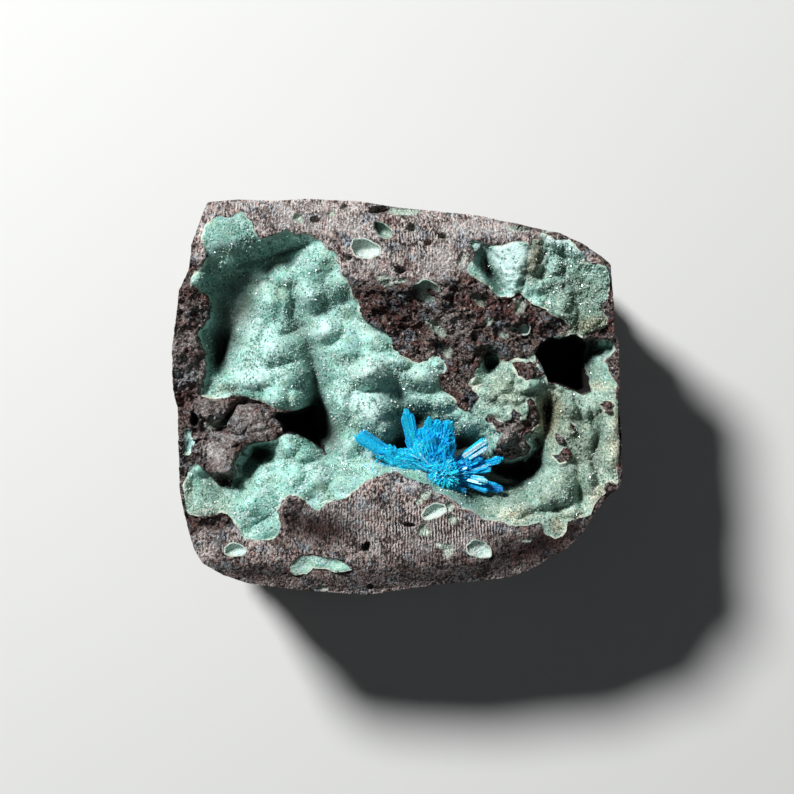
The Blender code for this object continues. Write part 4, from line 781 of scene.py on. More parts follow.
# Rounded lumps of the crusts: centre, half length, half width, turn, height.
DOMES = [
    # the pocket at the upper left
    (-22.6, 21.6, 3.0, 2.2, 15, 0.6), (-10.6, 17.9, 2.3, 2.0, -30, 1.0), (-11.7, 13.2, 1.8, 1.9, 0, 1.5),
    (-9.3, 8.8, 1.9, 1.8, 0, 1.1), (-16.3, 6.1, 2.7, 2.3, 0, 1.4), (-13.7, 3.0, 2.2, 2.1, 0, 1.1),
    (-19.7, 9.0, 2.0, 2.6, -20, 1.0), (-17.6, 12.6, 1.9, 2.6, 0, 1.2), (-15.4, 16.2, 1.7, 1.6, 0, 1.0),
    (-18.8, 16.4, 1.6, 1.1, 0, 0.7), (-20.9, 5.2, 1.9, 1.8, 0, 0.8), (-19.0, 2.2, 2.3, 1.3, 0, 0.8),
    (-16.0, -0.2, 2.0, 1.3, 0, 0.8), (-13.2, -0.2, 1.5, 1.4, 0, 0.8), (-22.6, 2.0, 1.6, 1.2, 0, 0.6),
    (-26.4, 15.4, 1.1, 1.1, 0, 1.0), (-8.0, 14.6, 1.4, 1.7, 0, 0.7), (-6.6, 11.6, 1.4, 1.2, 0, 0.6),
    (-6.8, 6.4, 2.2, 1.8, 0, 0.9), (-3.0, 7.4, 1.8, 1.2, -20, 0.6), (-22.8, 17.4, 1.6, 0.9, 30, 0.5),
    # round the crystals
    (-3.5, 3.0, 2.9, 2.0, 20, 1.5), (-3.4, -1.9, 3.2, 2.4, -15, 1.4), (-1.6, -4.2, 1.7, 1.7, 0, 1.0),
    (-7.8, -0.8, 2.0, 2.8, 0, 1.0), (3.4, 2.6, 2.3, 1.9, 0, 1.1), (0.8, 4.6, 1.6, 0.9, 0, 0.6),
    (6.2, -0.9, 1.9, 1.3, 0, 1.0), (3.4, -0.6, 1.5, 1.1, 0, 0.7), (-6.4, -6.6, 1.3, 1.6, 0, 0.9),
    (5.6, 4.4, 1.0, 0.7, 0, 0.5), (9.2, -4.0, 1.7, 1.5, 0, 0.9), (7.8, -2.4, 1.3, 0.9, 0, 0.6),
    # below the ledge
    (-14.4, -6.6, 1.3, 1.4, 0, 1.1), (-12.0, -7.6, 1.5, 1.2, 0, 1.0), (-10.4, -10.4, 2.2, 1.9, 0, 1.1),
    (-14.0, -10.6, 2.2, 2.0, 0, 0.9), (-17.6, -10.2, 1.8, 1.3, 0, 0.9), (-18.6, -13.6, 2.8, 2.0, 20, 1.2),
    (-20.4, -11.4, 1.1, 0.9, 0, 0.7), (-21.9, -13.6, 1.6, 1.4, 0, 0.7), (-25.4, -12.6, 1.7, 2.0, 0, 0.8),
    (-17.6, -17.8, 2.0, 0.9, 12, 0.8), (-26.0, -9.8, 0.9, 0.9, 0, 0.6), (-6.8, -11.2, 2.2, 1.5, -20, 0.8),
    (-12.4, -12.6, 1.8, 1.0, 20, 0.7), (-25.6, -14.9, 1.8, 0.7, 0, 0.5), (-3.4, -9.2, 2.0, 0.8, 0, 0.5),
    # on the right
    (20.6, -12.0, 3.4, 2.7, 0, 2.3), (23.0, -1.4, 1.6, 1.8, 0, 0.9), (22.6, -4.4, 1.3, 1.2, 0, 0.7),
    (20.8, -9.4, 1.2, 1.0, 0, 0.6), (25.4, -10.6, 1.2, 1.9, 0, 0.9), (28.2, -4.4, 1.1, 1.6, 0, 0.8),
    (28.2, -8.2, 1.2, 1.6, 0, 0.8), (25.4, -5.4, 1.2, 1.5, 0, 0.8), (25.6, -1.6, 1.3, 1.3, 0, 0.7),
    (14.2, 3.0, 1.3, 1.6, 10, 0.7), (12.4, 0.6, 1.9, 1.1, 0, 0.8), (10.2, 2.4, 0.9, 0.7, 0, 0.5),
    (14.4, -0.4, 1.6, 0.9, 0, 0.7), (13.0, -2.0, 1.2, 0.8, 0, 0.6), (17.6, 1.4, 1.7, 0.9, 15, 0.8),
    (15.8, -14.6, 2.2, 1.4, 0, 0.9), (12.6, -13.2, 1.6, 1.2, -20, 0.7), (19.0, -13.6, 1.6, 1.2, 0, 0.7),
    (16.6, -12.6, 1.5, 1.0, 0, 0.6), (22.8, -14.9, 1.8, 1.1, 0, 0.6), (11.0, -5.4, 1.1, 0.8, -30, 0.5),
    (26.8, 3.6, 0.9, 2.4, 0, 0.6), (27.6, 1.0, 1.4, 0.8, 0, 0.5), (17.8, -10.6, 0.9, 0.7, 0, 0.5),
    # the crust in the upper right corner
    (14.6, 17.6, 3.2, 3.8, -14, 1.7), (18.3, 18.6, 1.3, 3.1, -12, 0.8), (20.6, 20.6, 1.6, 0.9, -20, 0.8),
    (23.4, 19.6, 1.4, 1.0, -35, 0.8), (20.8, 17.4, 1.5, 1.4, 0, 0.7), (21.8, 12.0, 1.4, 1.9, 25, 0.9),
    (26.4, 14.6, 1.8, 2.6, 0, 0.7), (25.6, 9.8, 2.0, 1.4, 15, 1.0), (18.0, 14.8, 1.8, 1.3, 0, 0.8),
    (22.6, 15.4, 1.8, 1.4, 0, 0.5),
]
# Creases and hollows between them, in the same way.
HOLLOWS = [
    (12.6, 16.8, 3.0, 0.8, -54, -0.9), (25.9, -2.4, 0.4, 1.8, 10, -1.0), (26.6, -6.0, 0.45, 1.6, -16, -1.1),
    (26.2, -9.4, 0.45, 1.6, 18, -1.0), (20.2, -15.0, 2.6, 0.5, 8, -1.1), (24.3, -12.4, 0.6, 2.2, 8, -1.2),
    (12.7, 4.9, 0.9, 1.1, 0, -5.0), (21.0, -9.2, 1.8, 0.5, 10, -0.8), (24.2, -8.6, 0.5, 1.6, 40, -0.8),
    (22.0, 0.0, 0.4, 1.6, -20, -0.7), (24.4, -2.6, 0.4, 1.8, 20, -0.7), (-20.0, 16.4, 4.5, 1.2, 16, -0.4),
    (-6.2, 11.6, 2.4, 1.0, -35, -0.7), (-14.6, 8.6, 2.6, 0.6, 20, -0.7), (-15.0, 19.4, 3.2, 0.35, 18, -1.4),
    (-20.4, 17.9, 2.6, 0.3, 20, -1.0), (-22.8, 13.0, 1.4, 3.4, -4, -0.3), (-23.6, 6.0, 0.9, 2.4, -12, -0.8),
    (-13.9, 12.2, 0.8, 2.0, 0, -1.3), (-13.3, 9.8, 0.9, 1.0, 0, -0.7), (-11.3, 4.6, 0.9, 3.6, 10, -1.5),
    (-5.4, 10.6, 1.6, 0.8, -20, -0.6), (-3.6, 0.8, 2.4, 0.45, 22, -0.9), (0.2, 0.6, 0.9, 1.7, 30, -1.5),
    (2.6, -3.0, 1.2, 1.1, 0, -1.6), (-3.6, -6.6, 1.2, 1.0, 30, -1.0), (0.2, -6.4, 1.3, 0.8, 0, -1.5),
    (8.8, -6.4, 1.1, 1.5, 0, -2.0), (-21.9, -11.2, 1.0, 0.7, 0, -1.2), (-18.2, -16.6, 1.9, 0.4, 30, -1.0),
    (-15.6, -8.6, 0.9, 0.7, 0, -0.7), (-12.6, -9.2, 1.2, 0.4, -20, -0.5),
    (-27.2, -12.2, 0.5, 1.6, 10, -0.7), (27.3, 6.7, 2.4, 1.2, 0, -2.4), (20.1, -1.8, 0.8, 2.6, 6, -1.6),
    (17.4, -9.8, 2.6, 1.5, -10, -1.6), (18.7, -6.8, 0.8, 2.0, 0, -2.0), (14.4, -10.6, 2.4, 1.3, -10, -2.0),
    (11.6, -15.0, 1.8, 0.6, -22, -1.4), (21.0, -14.4, 0.5, 1.2, 30, -0.8),
    (11.7, 17.3, 0.75, 4.6, 33, -2.3), (17.0, 18.0, 0.35, 2.0, -14, -0.15),
    (10.8, 16.3, 0.75, 3.2, 36, 1.3), (9.9, 20.4, 0.5, 0.5, 0, 0.6), (13.1, 15.1, 0.5, 1.8, 33, -1.7),
    (19.4, 20.6, 0.3, 0.6, -20, -0.6), (10.0, 19.2, 0.5, 0.9, 20, -0.5), (22.2, 18.6, 0.5, 1.1, 40, -0.8),
    (23.9, 12.2, 0.4, 2.2, 32, -1.0), (24.2, 9.6, 0.5, 1.3, 0, -0.9), (24.2, -13.4, 0.5, 1.3, 0, -0.6),
    (17.2, 16.4, 1.2, 0.5, 0, -0.6), (9.9, 0.9, 0.5, 0.5, 0, -0.5),
]
# Where the saw or a break left a smooth section through the crust, in the same way, with its share.
SECTIONS = [(2.3, -10.7, 2.3, 0.75, -32, 1.0), (19.0, -4.3, 1.1, 0.8, 20, 0.5), (-9.0, -9.4, 0.5, 0.4, 0, 0.3)]
# Where the druse is stained olive brown, in the same way, with the strength of it.
STAINS = [
    (20.3, -2.0, 1.4, 3.2, 0, 1.3), (21.2, -17.2, 1.3, 1.6, 20, 1.0), (18.2, 18.5, 1.2, 2.7, -12, 1.3),
    (25.6, 9.4, 2.6, 1.3, 10, 0.8), (-21.2, 11.6, 1.4, 1.6, 0, 0.6), (14.4, 0.0, 5.0, 4.0, 0, 0.5),
    (24.5, -6.0, 5.5, 9.5, 0, 0.55), (23.5, 13.5, 5.0, 4.5, 0, 0.45), (15.5, -14.0, 5.0, 2.6, 0, 0.4),
    (-25.0, -13.0, 2.6, 2.6, 0, 0.3), (2.8, 2.0, 4.0, 2.4, 0, 0.2), (-4.0, 3.4, 2.2, 1.2, 20, 0.25),
    (-23.0, 1.2, 1.6, 0.8, 0, 0.5), (17.0, 6.0, 3.0, 1.0, 0, 0.6), (-8.6, -4.8, 0.7, 1.4, -10, 0.5),
]
# White, frosted tops, partly painted highlight; painted shade in creases, hollows and under overhangs; edges
# with a pale ribbon; and cream-yellow parts, in the same way.
FROST_AND_HIGHLIGHT = [
    (15.2, 18.9, 2.6, 2.2, 10, 1.1), (20.6, 20.6, 1.5, 0.8, -20, 1.2), (23.4, 19.4, 1.8, 1.0, -30, 1.1),
    (14.0, 17.0, 2.2, 2.6, 0, 0.9), (15.2, 14.2, 2.0, 0.7, 0, 0.6), (20.4, 16.4, 1.2, 1.0, 0, 0.3),
    (-11.7, 13.6, 1.5, 1.5, 0, 0.7), (-9.4, 8.9, 1.6, 1.5, 0, 0.8), (-3.4, 4.0, 2.4, 1.4, 20, 0.8),
    (-3.6, -1.0, 2.6, 2.0, -10, 0.9), (-15.8, 7.0, 2.4, 1.8, 0, 0.6), (-18.8, 3.4, 2.8, 1.8, 0, 0.5),
    (-19.6, 9.4, 1.8, 2.4, -20, 0.5), (3.4, 3.2, 1.6, 1.2, 0, 0.45), (-9.9, -10.0, 1.6, 1.2, 0, 0.4),
    (6.0, -0.2, 1.2, 0.8, 0, 0.5), (10.2, -3.4, 1.2, 0.8, 0, 0.4),
]
PAINTED_SHADE = [
    (12.5, 16.8, 3.0, 0.8, -54, 0.8), (-22.2, 21.6, 3.6, 2.8, 0, 0.3), (-24.4, 5.4, 1.3, 3.2, -8, 0.9),
    (-23.4, 13.0, 1.4, 3.4, -20, 0.4), (24.2, 14.6, 4.0, 4.0, 0, 0.3), (11.6, 17.2, 0.8, 4.0, 32, 0.5),
    (13.1, 15.1, 0.6, 1.8, 33, 0.8), (-18.4, 17.2, 4.4, 1.7, 15, 0.6), (-12.4, 5.6, 1.5, 4.4, 6, 0.5),
    (-6.6, 12.5, 1.5, 2.4, -30, 0.4), (23.6, -5.0, 2.0, 3.0, 0, 0.4), (26.5, -6.0, 0.8, 5.0, 0, 0.6),
    (14.0, -12.6, 3.0, 1.4, 0, 0.5), (9.9, -13.0, 2.8, 1.4, -30, 1.0), (2.6, -3.4, 2.2, 1.8, 0, 0.5),
    (0.0, -0.4, 1.2, 1.4, 30, 0.5), (-8.4, -12.2, 2.4, 1.2, 20, 0.3), (-24.0, 12.0, 1.8, 5.0, 0, 0.35),
    (-20.6, -9.6, 1.6, 1.2, 0, 0.5), (24.6, 9.8, 2.0, 1.4, 0, 0.4), (8.6, -4.6, 1.4, 1.6, 0, 0.4),
    (-26.6, -12.6, 1.6, 2.2, 0, 0.3), (22.4, -8.6, 1.6, 1.2, 0, 0.4), (-10.6, 15.6, 1.4, 2.0, 0, 0.3),
]
RIBBON = [
    (12.0, 15.0, 4.5, 3.0, -40, 1.0), (-25.0, 0.0, 2.4, 1.0, 0, 1.0), (29.4, -7.0, 1.0, 4.5, 0, 1.0),
    (26.8, -13.6, 2.4, 2.0, 40, 1.0), (-5.4, 12.6, 1.6, 3.4, 20, 1.0), (-12.0, -13.4, 5.0, 1.2, 10, 0.8),
    (-19.0, 23.6, 2.0, 1.6, -40, 0.7), (-28.2, -13.6, 1.0, 3.0, 0, 0.8), (3.0, -11.6, 3.5, 1.0, -30, 0.8),
    (-6.0, -12.6, 3.0, 1.4, 30, 0.8), (14.0, -16.6, 4.0, 0.8, 0, 0.8),
]
CREAM = [
    (25.0, -6.0, 4.5, 8.0, 0, 0.2), (20.4, -12.0, 3.0, 2.4, 0, 0.2), (29.2, -6.0, 1.2, 5.6, 0, 0.8),
    (26.6, -12.8, 1.6, 1.2, 30, 0.7), (15.6, -15.6, 3.4, 1.2, -4, 0.75), (19.0, -4.2, 1.2, 0.8, 0, 0.9),
    (10.2, 1.8, 1.0, 1.0, 0, 0.6), (15.0, 5.2, 1.2, 0.6, 0, 0.6), (26.8, 1.4, 1.6, 0.8, 0, 0.6),
    (-27.8, -12.8, 0.8, 2.4, 0, 0.5), (26.2, 9.6, 2.0, 1.2, 15, 0.7), (22.0, 8.2, 1.4, 0.5, 20, 0.7),
    (-25.0, -15.0, 2.4, 0.7, 0, 0.5), (23.4, -15.6, 1.4, 0.8, 0, 0.6), (14.6, 1.2, 3.4, 2.6, 0, 0.35),
    (5.4, -13.2, 2.0, 0.4, -40, 0.4), (-25.0, -0.1, 1.6, 0.3, 0, 0.5),
]
TINTS = {"stain": STAINS, "frost": FROST_AND_HIGHLIGHT, "cream": CREAM, "dusk": PAINTED_SHADE, "ribbon": RIBBON}


def ragged(ring, spacing, roughness):
    """A ring with points at an even spacing, moved about a little as a broken edge is."""
    ring = np.array(ring, float)
    following = np.roll(ring, -1, axis=0)
    lengths = np.hypot(*(following - ring).T)
    starts = np.concatenate(([0], np.cumsum(lengths)[:-1]))
    result = []
    for at in np.arange(0, lengths.sum() - 0.5 * spacing, spacing):
        k = np.searchsorted(starts, at, side="right") - 1
        x, y = mixed(ring[k], following[k], (at - starts[k]) / lengths[k])
        shift = noise.noise_vector(Vector((x, y, 0)) / 0.55)
        shift += 0.6 * noise.noise_vector(Vector((x, y, 5)) / 0.23)
        result.append((x + roughness * shift.x, y + roughness * shift.y))
    return np.array(result)


def lumps(points, size, seed=0.0):
    """Rounded lumps of a size in millimetres with creases between them, from 1 at their tops to about 0."""
    shift = Vector((seed, -seed, 0))
    return np.array([1 - 1.5 * noise.voronoi(Vector(p) / size + shift)[0][0] ** 2 for p in points])


def crust_heights(name, points, inset):
    """Heights of a crust's crystals, and of the foot that its rim stands on."""
    swell = np.zeros(len(points))
    for dome in DOMES:
        shape = np.maximum(0, 1 - 0.7 * bubble_ratio(points, dome) ** 2)
        swell = np.maximum(swell, 1.45 * dome[5] * shape**1.4)
    target = sampled(crust_maps[name], points) + swell + spot_sum(points, HOLLOWS)
    spots = np.c_[points, target]
    x, y = points.T
    crumbly = smooth_step((x - 9) / 6) * smooth_step((22 - x + y) / 6 + 1)
    crumbs = 0.7 * rough(spots, 1.7, 3, 3.0) + 0.3 * facets(spots, 1.1) + 0.25 * lumps(spots, 1.5, 21.0)
    target = target + 0.3 * rough(spots, 3.2, 2, 11.0) + crumbly * crumbs
    target = target + 0.07 * lumps(spots, 1.5, 3.0) + 0.04 * lumps(spots, 0.7, 8.0)
    target = target + 0.08 * rough(spots, 0.7, 3, 5.0) + 0.08 * facets(spots, 0.42, 1.0)
    target = target + 0.07 * (dice.random(len(points)) - 0.5)
    foot = rock_height(points, False) - 0.1
    below = FRONT - np.maximum(target, foot + 0.35)
    target = FRONT - 0.5 * (below + np.sqrt(below**2 + 0.3))
    edge_profile = np.sqrt(1 - (1 - np.clip(inset / 0.5, 0, 1)) ** 2)
    return mixed(foot, target, 0.25 + 0.75 * edge_profile), foot


crust_surfaces = {}
druse_pieces = []
for name, rims in CRUSTS.items():
    rings = [ragged(rim, RIM_SPACING, RIM_ROUGHNESS) for rim in rims]
    find = inset_near(rings)
    flat, top_faces = triangulated(rings, find, (CRUST_GRAIN,))
    edge = sum(len(ring) for ring in rings)
    inset = find(flat)
    inset[:edge] = 0
    heights, foot = crust_heights(name, flat, inset)
    crust_surfaces[name] = (np.c_[flat, heights], top_faces, inset)

    # The underside lies in the rock and shares the rims with the top.
    under_flat, under_faces = triangulated(rings, find, (UNDERSIDE_GRAIN,))
    under = rock_height(under_flat, False) - 0.45
    under = np.minimum(under, sampled(crust_maps[name], under_flat) - 0.6)
    under[:edge] = foot[:edge] - 0.5
    shift = len(flat)
    faces = top_faces.tolist() + (under_faces[:, ::-1] + shift).tolist()
    faces += [(b, a, shift + a, shift + b) for a, b in ring_edges(rings)]

    # Values for the material, first the top's and then one for the underside. No ribbon runs round a hole.
    by_hole = np.max([find_hole(flat) for find_hole in swallowing_holes], axis=0) > -1.6
    values = {"rim": (np.where(by_hole & (FRONT - heights > 3), 9, inset), 0)}
    values |= {label: (np.minimum(1, spot_sum(flat, spots)), 0) for label, spots in TINTS.items()}
    # The depth is painted as shade: the deeper the druse lies, the darker it is painted.
    values["depth"] = (FRONT - heights, 5)
    values["section"] = (smooth_step(2 * spot_sum(flat, SECTIONS) - 0.5), 0)
    druse_pieces.append(new_piece(
        name + "_crust", np.concatenate((np.c_[flat, heights], np.c_[under_flat, under])), faces,
        *((label, np.append(top, np.full(len(under), below))) for label, (top, below) in values.items()),
        smooth=True,
    ))
    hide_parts(name)

# Druse: sugary, slightly see-through mint crystals, whiter on their tops, partly as painted highlight, with
# painted glints among the grains, painted shade in its creases and painted almost black deep in the holes, and
# olive or cream where iron has stained them.
druse, tree, shader, place, stain, frost, cream, dusk, ribbon, rim, depth, section = new_material(
    "mint zeolite druse", *TINTS, "rim", "depth", "section")
sugar = weighted(tree, -0.15, (pattern(tree, place, 0.3, 3.0, 0.7), 1), (speckled(tree, place, 0.2), 0.3))
lively = add_node(tree, "MapRange", (pattern(tree, place, 2.8, 3.0), 0.4, 0.6, 0.35, 1.0))
away_from_frost_and_highlight = add_node(tree, "MapRange", (frost, 0.0, 0.9, 1.0, 0.15))
# Painted glints: white specks over the sugary grain, as light flashing off single crystals.
painted_glint_specks = product(tree, add_node(tree, "MapRange", (sugar, 0.5, 0.72, 0, 0.82)), lively)
dark_specks = product(tree, add_node(tree, "MapRange", (sugar, 0.48, 0.26, 0, 0.56)), lively, away_from_frost_and_highlight)
mint = layered(tree, "6AB2A0", [
    (pattern(tree, place, 2.6, 4.0, 0.65), 0.38, 0.62, 1, "B2EADF"),
    (pattern(tree, place, 4.0, 2.0), 0.5, 0.64, 0.45, "AEC6B6"),
    (pattern(tree, place, 1.7, 3.0), 0.5, 0.62, 0.55, "A9CDD2"),
    (pattern(tree, place, 2.1, 3.0), 0.5, 0.38, 0.4, "9DBD9C"),
    # Whiter frosted tops, partly painted highlight on the domes.
    (frost, 0, 1, 1, "D6F6F2"),
    (painted_glint_specks, 0, 1, 1, "F2FFFB"),
    (dark_specks, 0, 1, 1, "2C4A41"),
])
olive_grain = add_node(tree, "MapRange", (sugar, 0.34, 0.64))
cream_grain = add_node(tree, "MapRange", (sugar, 0.35, 0.62))
mint = layered(tree, mint, [(stain, 0, 1, 0.85, "3A3522", "ACA68C")], olive_grain)
mint = layered(tree, mint, [(cream, 0, 1, 1, "948C70", "EEE8CE")], cream_grain)
# Painted shade in the creases and hollows and under overhangs.
mint = layered(tree, mint, [(dusk, 0, 1, 1, "7A8C84")], blend="MULTIPLY")
broken_rim = add_node(tree, "MapRange", (pattern(tree, place, 1.4, 3.0, 0.7), 0.44, 0.56, 0.1, 1.0))
broken_rim = add_node(tree, "Math", (broken_rim, ribbon), operation="MAXIMUM")
near_rim = add_node(tree, "MapRange", (rim, 0.36, 0.1, 0, 0.85))
pale_rim = product(tree, near_rim, broken_rim, add_node(tree, "MapRange", (depth, 5.0, 2.5)))
# Painted shade: the deeper the druse lies, the darker it is painted, almost black in the holes, and its pale
# rim fades out there.
mint = layered(tree, mint, [
    (depth, 4.4, 8.2, 0.95, "0E1A16"),
    (pale_rim, 0, 1, 1, "DCE4CE"),
    (section, 0, 1, 1, "86BCA8"),
])
glow = {"Subsurface Weight": 0.45, "Subsurface Radius": (0.6, 1.0, 0.9), "Subsurface Scale": 0.8 * MM}
set_surface(tree, shader, mint, {"Roughness": 0.42, "Specular IOR Level": 0.5, **glow}, sugar, 0.19)
for piece in druse_pieces:
    piece.data.materials.append(druse)

# ---------------------------------------------------------------------------------------------------------
# Linings of the larger gas bubbles: thin bowls of the same druse, one in each bubble.
# ---------------------------------------------------------------------------------------------------------
LINING_NAMES = ["upper_left", "half_moon", "fracture", "right", "lower_long", "lower_pale", "lower_left"]
LINING_THICKNESS = 0.17
for label, (x, y, length, width, turn, deep, olive, white) in zip(LINING_NAMES, LINED_BUBBLES):
    # The lower half of a ball.
    bpy.ops.mesh.primitive_uv_sphere_add(segments=64, ring_count=40, radius=1)
    bowl = bpy.context.object
    bowl.name = bowl.data.name = "bubble_" + label
    bpy.ops.object.mode_set(mode="EDIT")
    bpy.ops.mesh.select_all(action="SELECT")
    bpy.ops.mesh.bisect(plane_co=(0, 0, 0), plane_no=(0, 0, 1), clear_outer=True)
    bpy.ops.object.mode_set(mode="OBJECT")

    # Its rim follows the bubble's outline and the slope of the rock round it.
    east, west, north, south = sampled(rock_map, np.array([(x + 1, y), (x - 1, y), (x, y + 1), (x, y - 1)]))
    level = (east + west + north + south) / 4
    slope_x, slope_y = (east - west) / 2, (north - south) / 2
    turned = Matrix.Rotation(math.radians(turn), 4, "Z")
    for vert in bowl.data.vertices:
        grow = 1.03 / wobble(math.atan2(vert.co.y, vert.co.x), x, y)
        spot = turned @ Vector((vert.co.x * length * grow, vert.co.y * width * grow, 0)) + Vector((x, y, 0))
        bump_up = 0.09 * noise.fractal(spot / 0.5, 0.9, 2.1, 3) * (vert.co.z < -0.05)
        slope = slope_x * (spot.x - x) + slope_y * (spot.y - y)
        spot.z = min(FRONT - 0.05, level + slope - 0.02) + vert.co.z * (deep - 0.12) + bump_up
        vert.co = spot * MM
    thick = bowl.modifiers.new("thickness", "SOLIDIFY")
    thick.thickness = LINING_THICKNESS * MM
    thick.offset = 1
    bpy.ops.object.modifier_apply(modifier="thickness")

    # Values for the druse, with painted shade: the deeper a point of a bowl lies the darker it is painted, the
    # olive bowls darker still on their left, and no pale rim on the upper side, where it would lie in shade.
    points = np.array([v.co / MM for v in bowl.data.vertices])
    across, along = points[:, 0] - x, points[:, 1] - y
    sunk = level - (points[:, 2] - (points[:, :2] - (x, y)) @ (slope_x, slope_y))
    brim = 0.5 * np.maximum(0, rough(points, 1.1, 2, 6.0)) + 0.4 * np.maximum(0, along / width)
    shade = 15 * olive * np.maximum(0, -0.1 - across / length)
    values = {"rim": sunk * 0.6 + brim, "stain": olive, "frost": white, "cream": 0.3 * white, "dusk": 0,
              "ribbon": white, "depth": 1.5 + (2.5 - 1.6 * olive) * sunk + shade, "section": 0}
    for layer_name, value in values.items():
        layer = bowl.data.attributes.new(layer_name, "FLOAT", "POINT")
        layer.data.foreach_set("value", np.full(len(points), value, np.float32))
    bowl.data.materials.append(druse)
    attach(bowl, "root")
    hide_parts("vesicle_lining_" + label)

# ---------------------------------------------------------------------------------------------------------
# The tiny crystals that make the crusts sparkle: stubby, pointed at both ends, sitting in the druse.
# ---------------------------------------------------------------------------------------------------------
LINING_CRYSTALS, CORNER_CRYSTALS = 17000, 3600
STUB = np.array([(1, 0, 0), (0, 1, 0), (-1, 0, 0), (0, -1, 0), (0, 0, 1), (0, 0, -1)], float)
STUB_FACES = np.array([(0, 1, 4), (1, 2, 4), (2, 3, 4), (3, 0, 4), (1, 0, 5), (2, 1, 5), (3, 2, 5), (0, 3, 5)])


def scattered(surface, count, keep):
    """Points spread over a surface, as densely as keep says for its triangles, with the normals there."""
    points, faces, inset = surface
    corners = points[faces]
    normals = np.cross(corners[:, 1] - corners[:, 0], corners[:, 2] - corners[:, 0])
    areas = np.linalg.norm(normals, axis=1) * keep(corners.mean(1), inset[faces].min(1))
    chosen = dice.choice(len(faces), count, p=areas / areas.sum())
    shares = dice.dirichlet((1, 1, 1), count)
    places = (corners[chosen] * shares[:, :, None]).sum(1)
    normals = normals[chosen] / np.maximum(np.linalg.norm(normals[chosen], axis=1), 1e-9)[:, None]
    return places, normals


def crystal_grains(name, places, normals, low, high):
    """Stubby crystals of half lengths from low to high, joined in one mesh."""
    count = len(places)
    axes = normals + 1.1 * dice.normal(size=(count, 3))
    axes /= np.linalg.norm(axes, axis=1)[:, None]
    sides = np.cross(axes, dice.normal(size=(count, 3)))
    sides /= np.linalg.norm(sides, axis=1)[:, None]
    across = np.cross(axes, sides)
    size = low + (high - low) * dice.random(count) ** 2
    basis = np.stack((sides * 0.62, across * (0.4 + 0.3 * dice.random(count))[:, None], axes), 1)
    corners = np.einsum("vk,nkc->nvc", STUB, basis) * size[:, None, None]
    corners += (places + normals * (0.25 * size)[:, None])[:, None, :]
    points = corners.reshape(-1, 3)
    points[:, 2] = np.minimum(points[:, 2], FRONT)
    faces = (STUB_FACES[None] + len(STUB) * np.arange(count)[:, None, None]).reshape(-1, 3)
    # Values for the material: each crystal's tone, which above 0.9 is painted as a glint, its stain, the
    # druse's painted shade, and the depth, which is painted as shade too.
    values = {
        "tone": dice.random(count),
        "stain": np.minimum(1, spot_sum(places[:, :2], STAINS)),
        "dusk": np.minimum(1, spot_sum(places[:, :2], PAINTED_SHADE)),
        "depth": FRONT - places[:, 2],
    }
    attributes = [(label, np.repeat(value, len(STUB))) for label, value in values.items()]
    return new_piece(name, points, faces, *attributes)


def lining_density(centres, inset):
    """Crystals in clusters, but not at the rim or deep in the holes, where they would glint."""
    shallow = (inset > 0.3) * (centres[:, 2] > FRONT - 7)
    return shallow * (0.15 + np.maximum(0, rough(centres, 2.2, 3, 9.0) + 0.15))


def corner_density(centres, inset):
    """The same for the upper right crust, with more of them towards its outer edge."""
    clusters = rough(centres, 2.0, 3, 9.0) + 0.2 + 0.14 * (centres[:, 0] - 20)
    return (inset > 0.2) * (0.1 + np.maximum(0, clusters))


lining_places = scattered(crust_surfaces["druse_lining"], LINING_CRYSTALS, lining_density)
corner_places = scattered(crust_surfaces["druse_upper_right"], CORNER_CRYSTALS, corner_density)
lining_grains = crystal_grains("lining_crystals", *lining_places, 0.09, 0.25)
corner_grains = crystal_grains("corner_crystals", *corner_places, 0.09, 0.27)

# Zeolite: glassy, pale mint crystals, each of its own tone, so that some look dark; the palest tenth are
# painted white as glints, and the druse's painted shade and a painted near black deep in the holes darken them.
glassy, tree, shader, place, tone, stain, dusk, depth = new_material(
    "zeolite crystals", "tone", "stain", "dusk", "depth")
mint = layered(tree, "5E9484", [(tone, 0, 0.8, 1, "BEE2D8")])
mint = layered(tree, mint, [(dusk, 0, 1, 1, "A8B8B0")], blend="MULTIPLY")
mint = layered(tree, mint, [
    (tone, 0.9, 0.93, 1, "FFFFFF"),
    (stain, 0, 1, 0.85, "5C5A3E", "A8AA88"),
    (depth, 4.8, 8.5, 0.92, "14231E"),
], tone)
set_surface(tree, shader, mint, {"Roughness": 0.16, "IOR": 1.5, "Transmission Weight": 0.15})
for piece in (lining_grains, corner_grains):
    piece.data.materials.append(glassy)
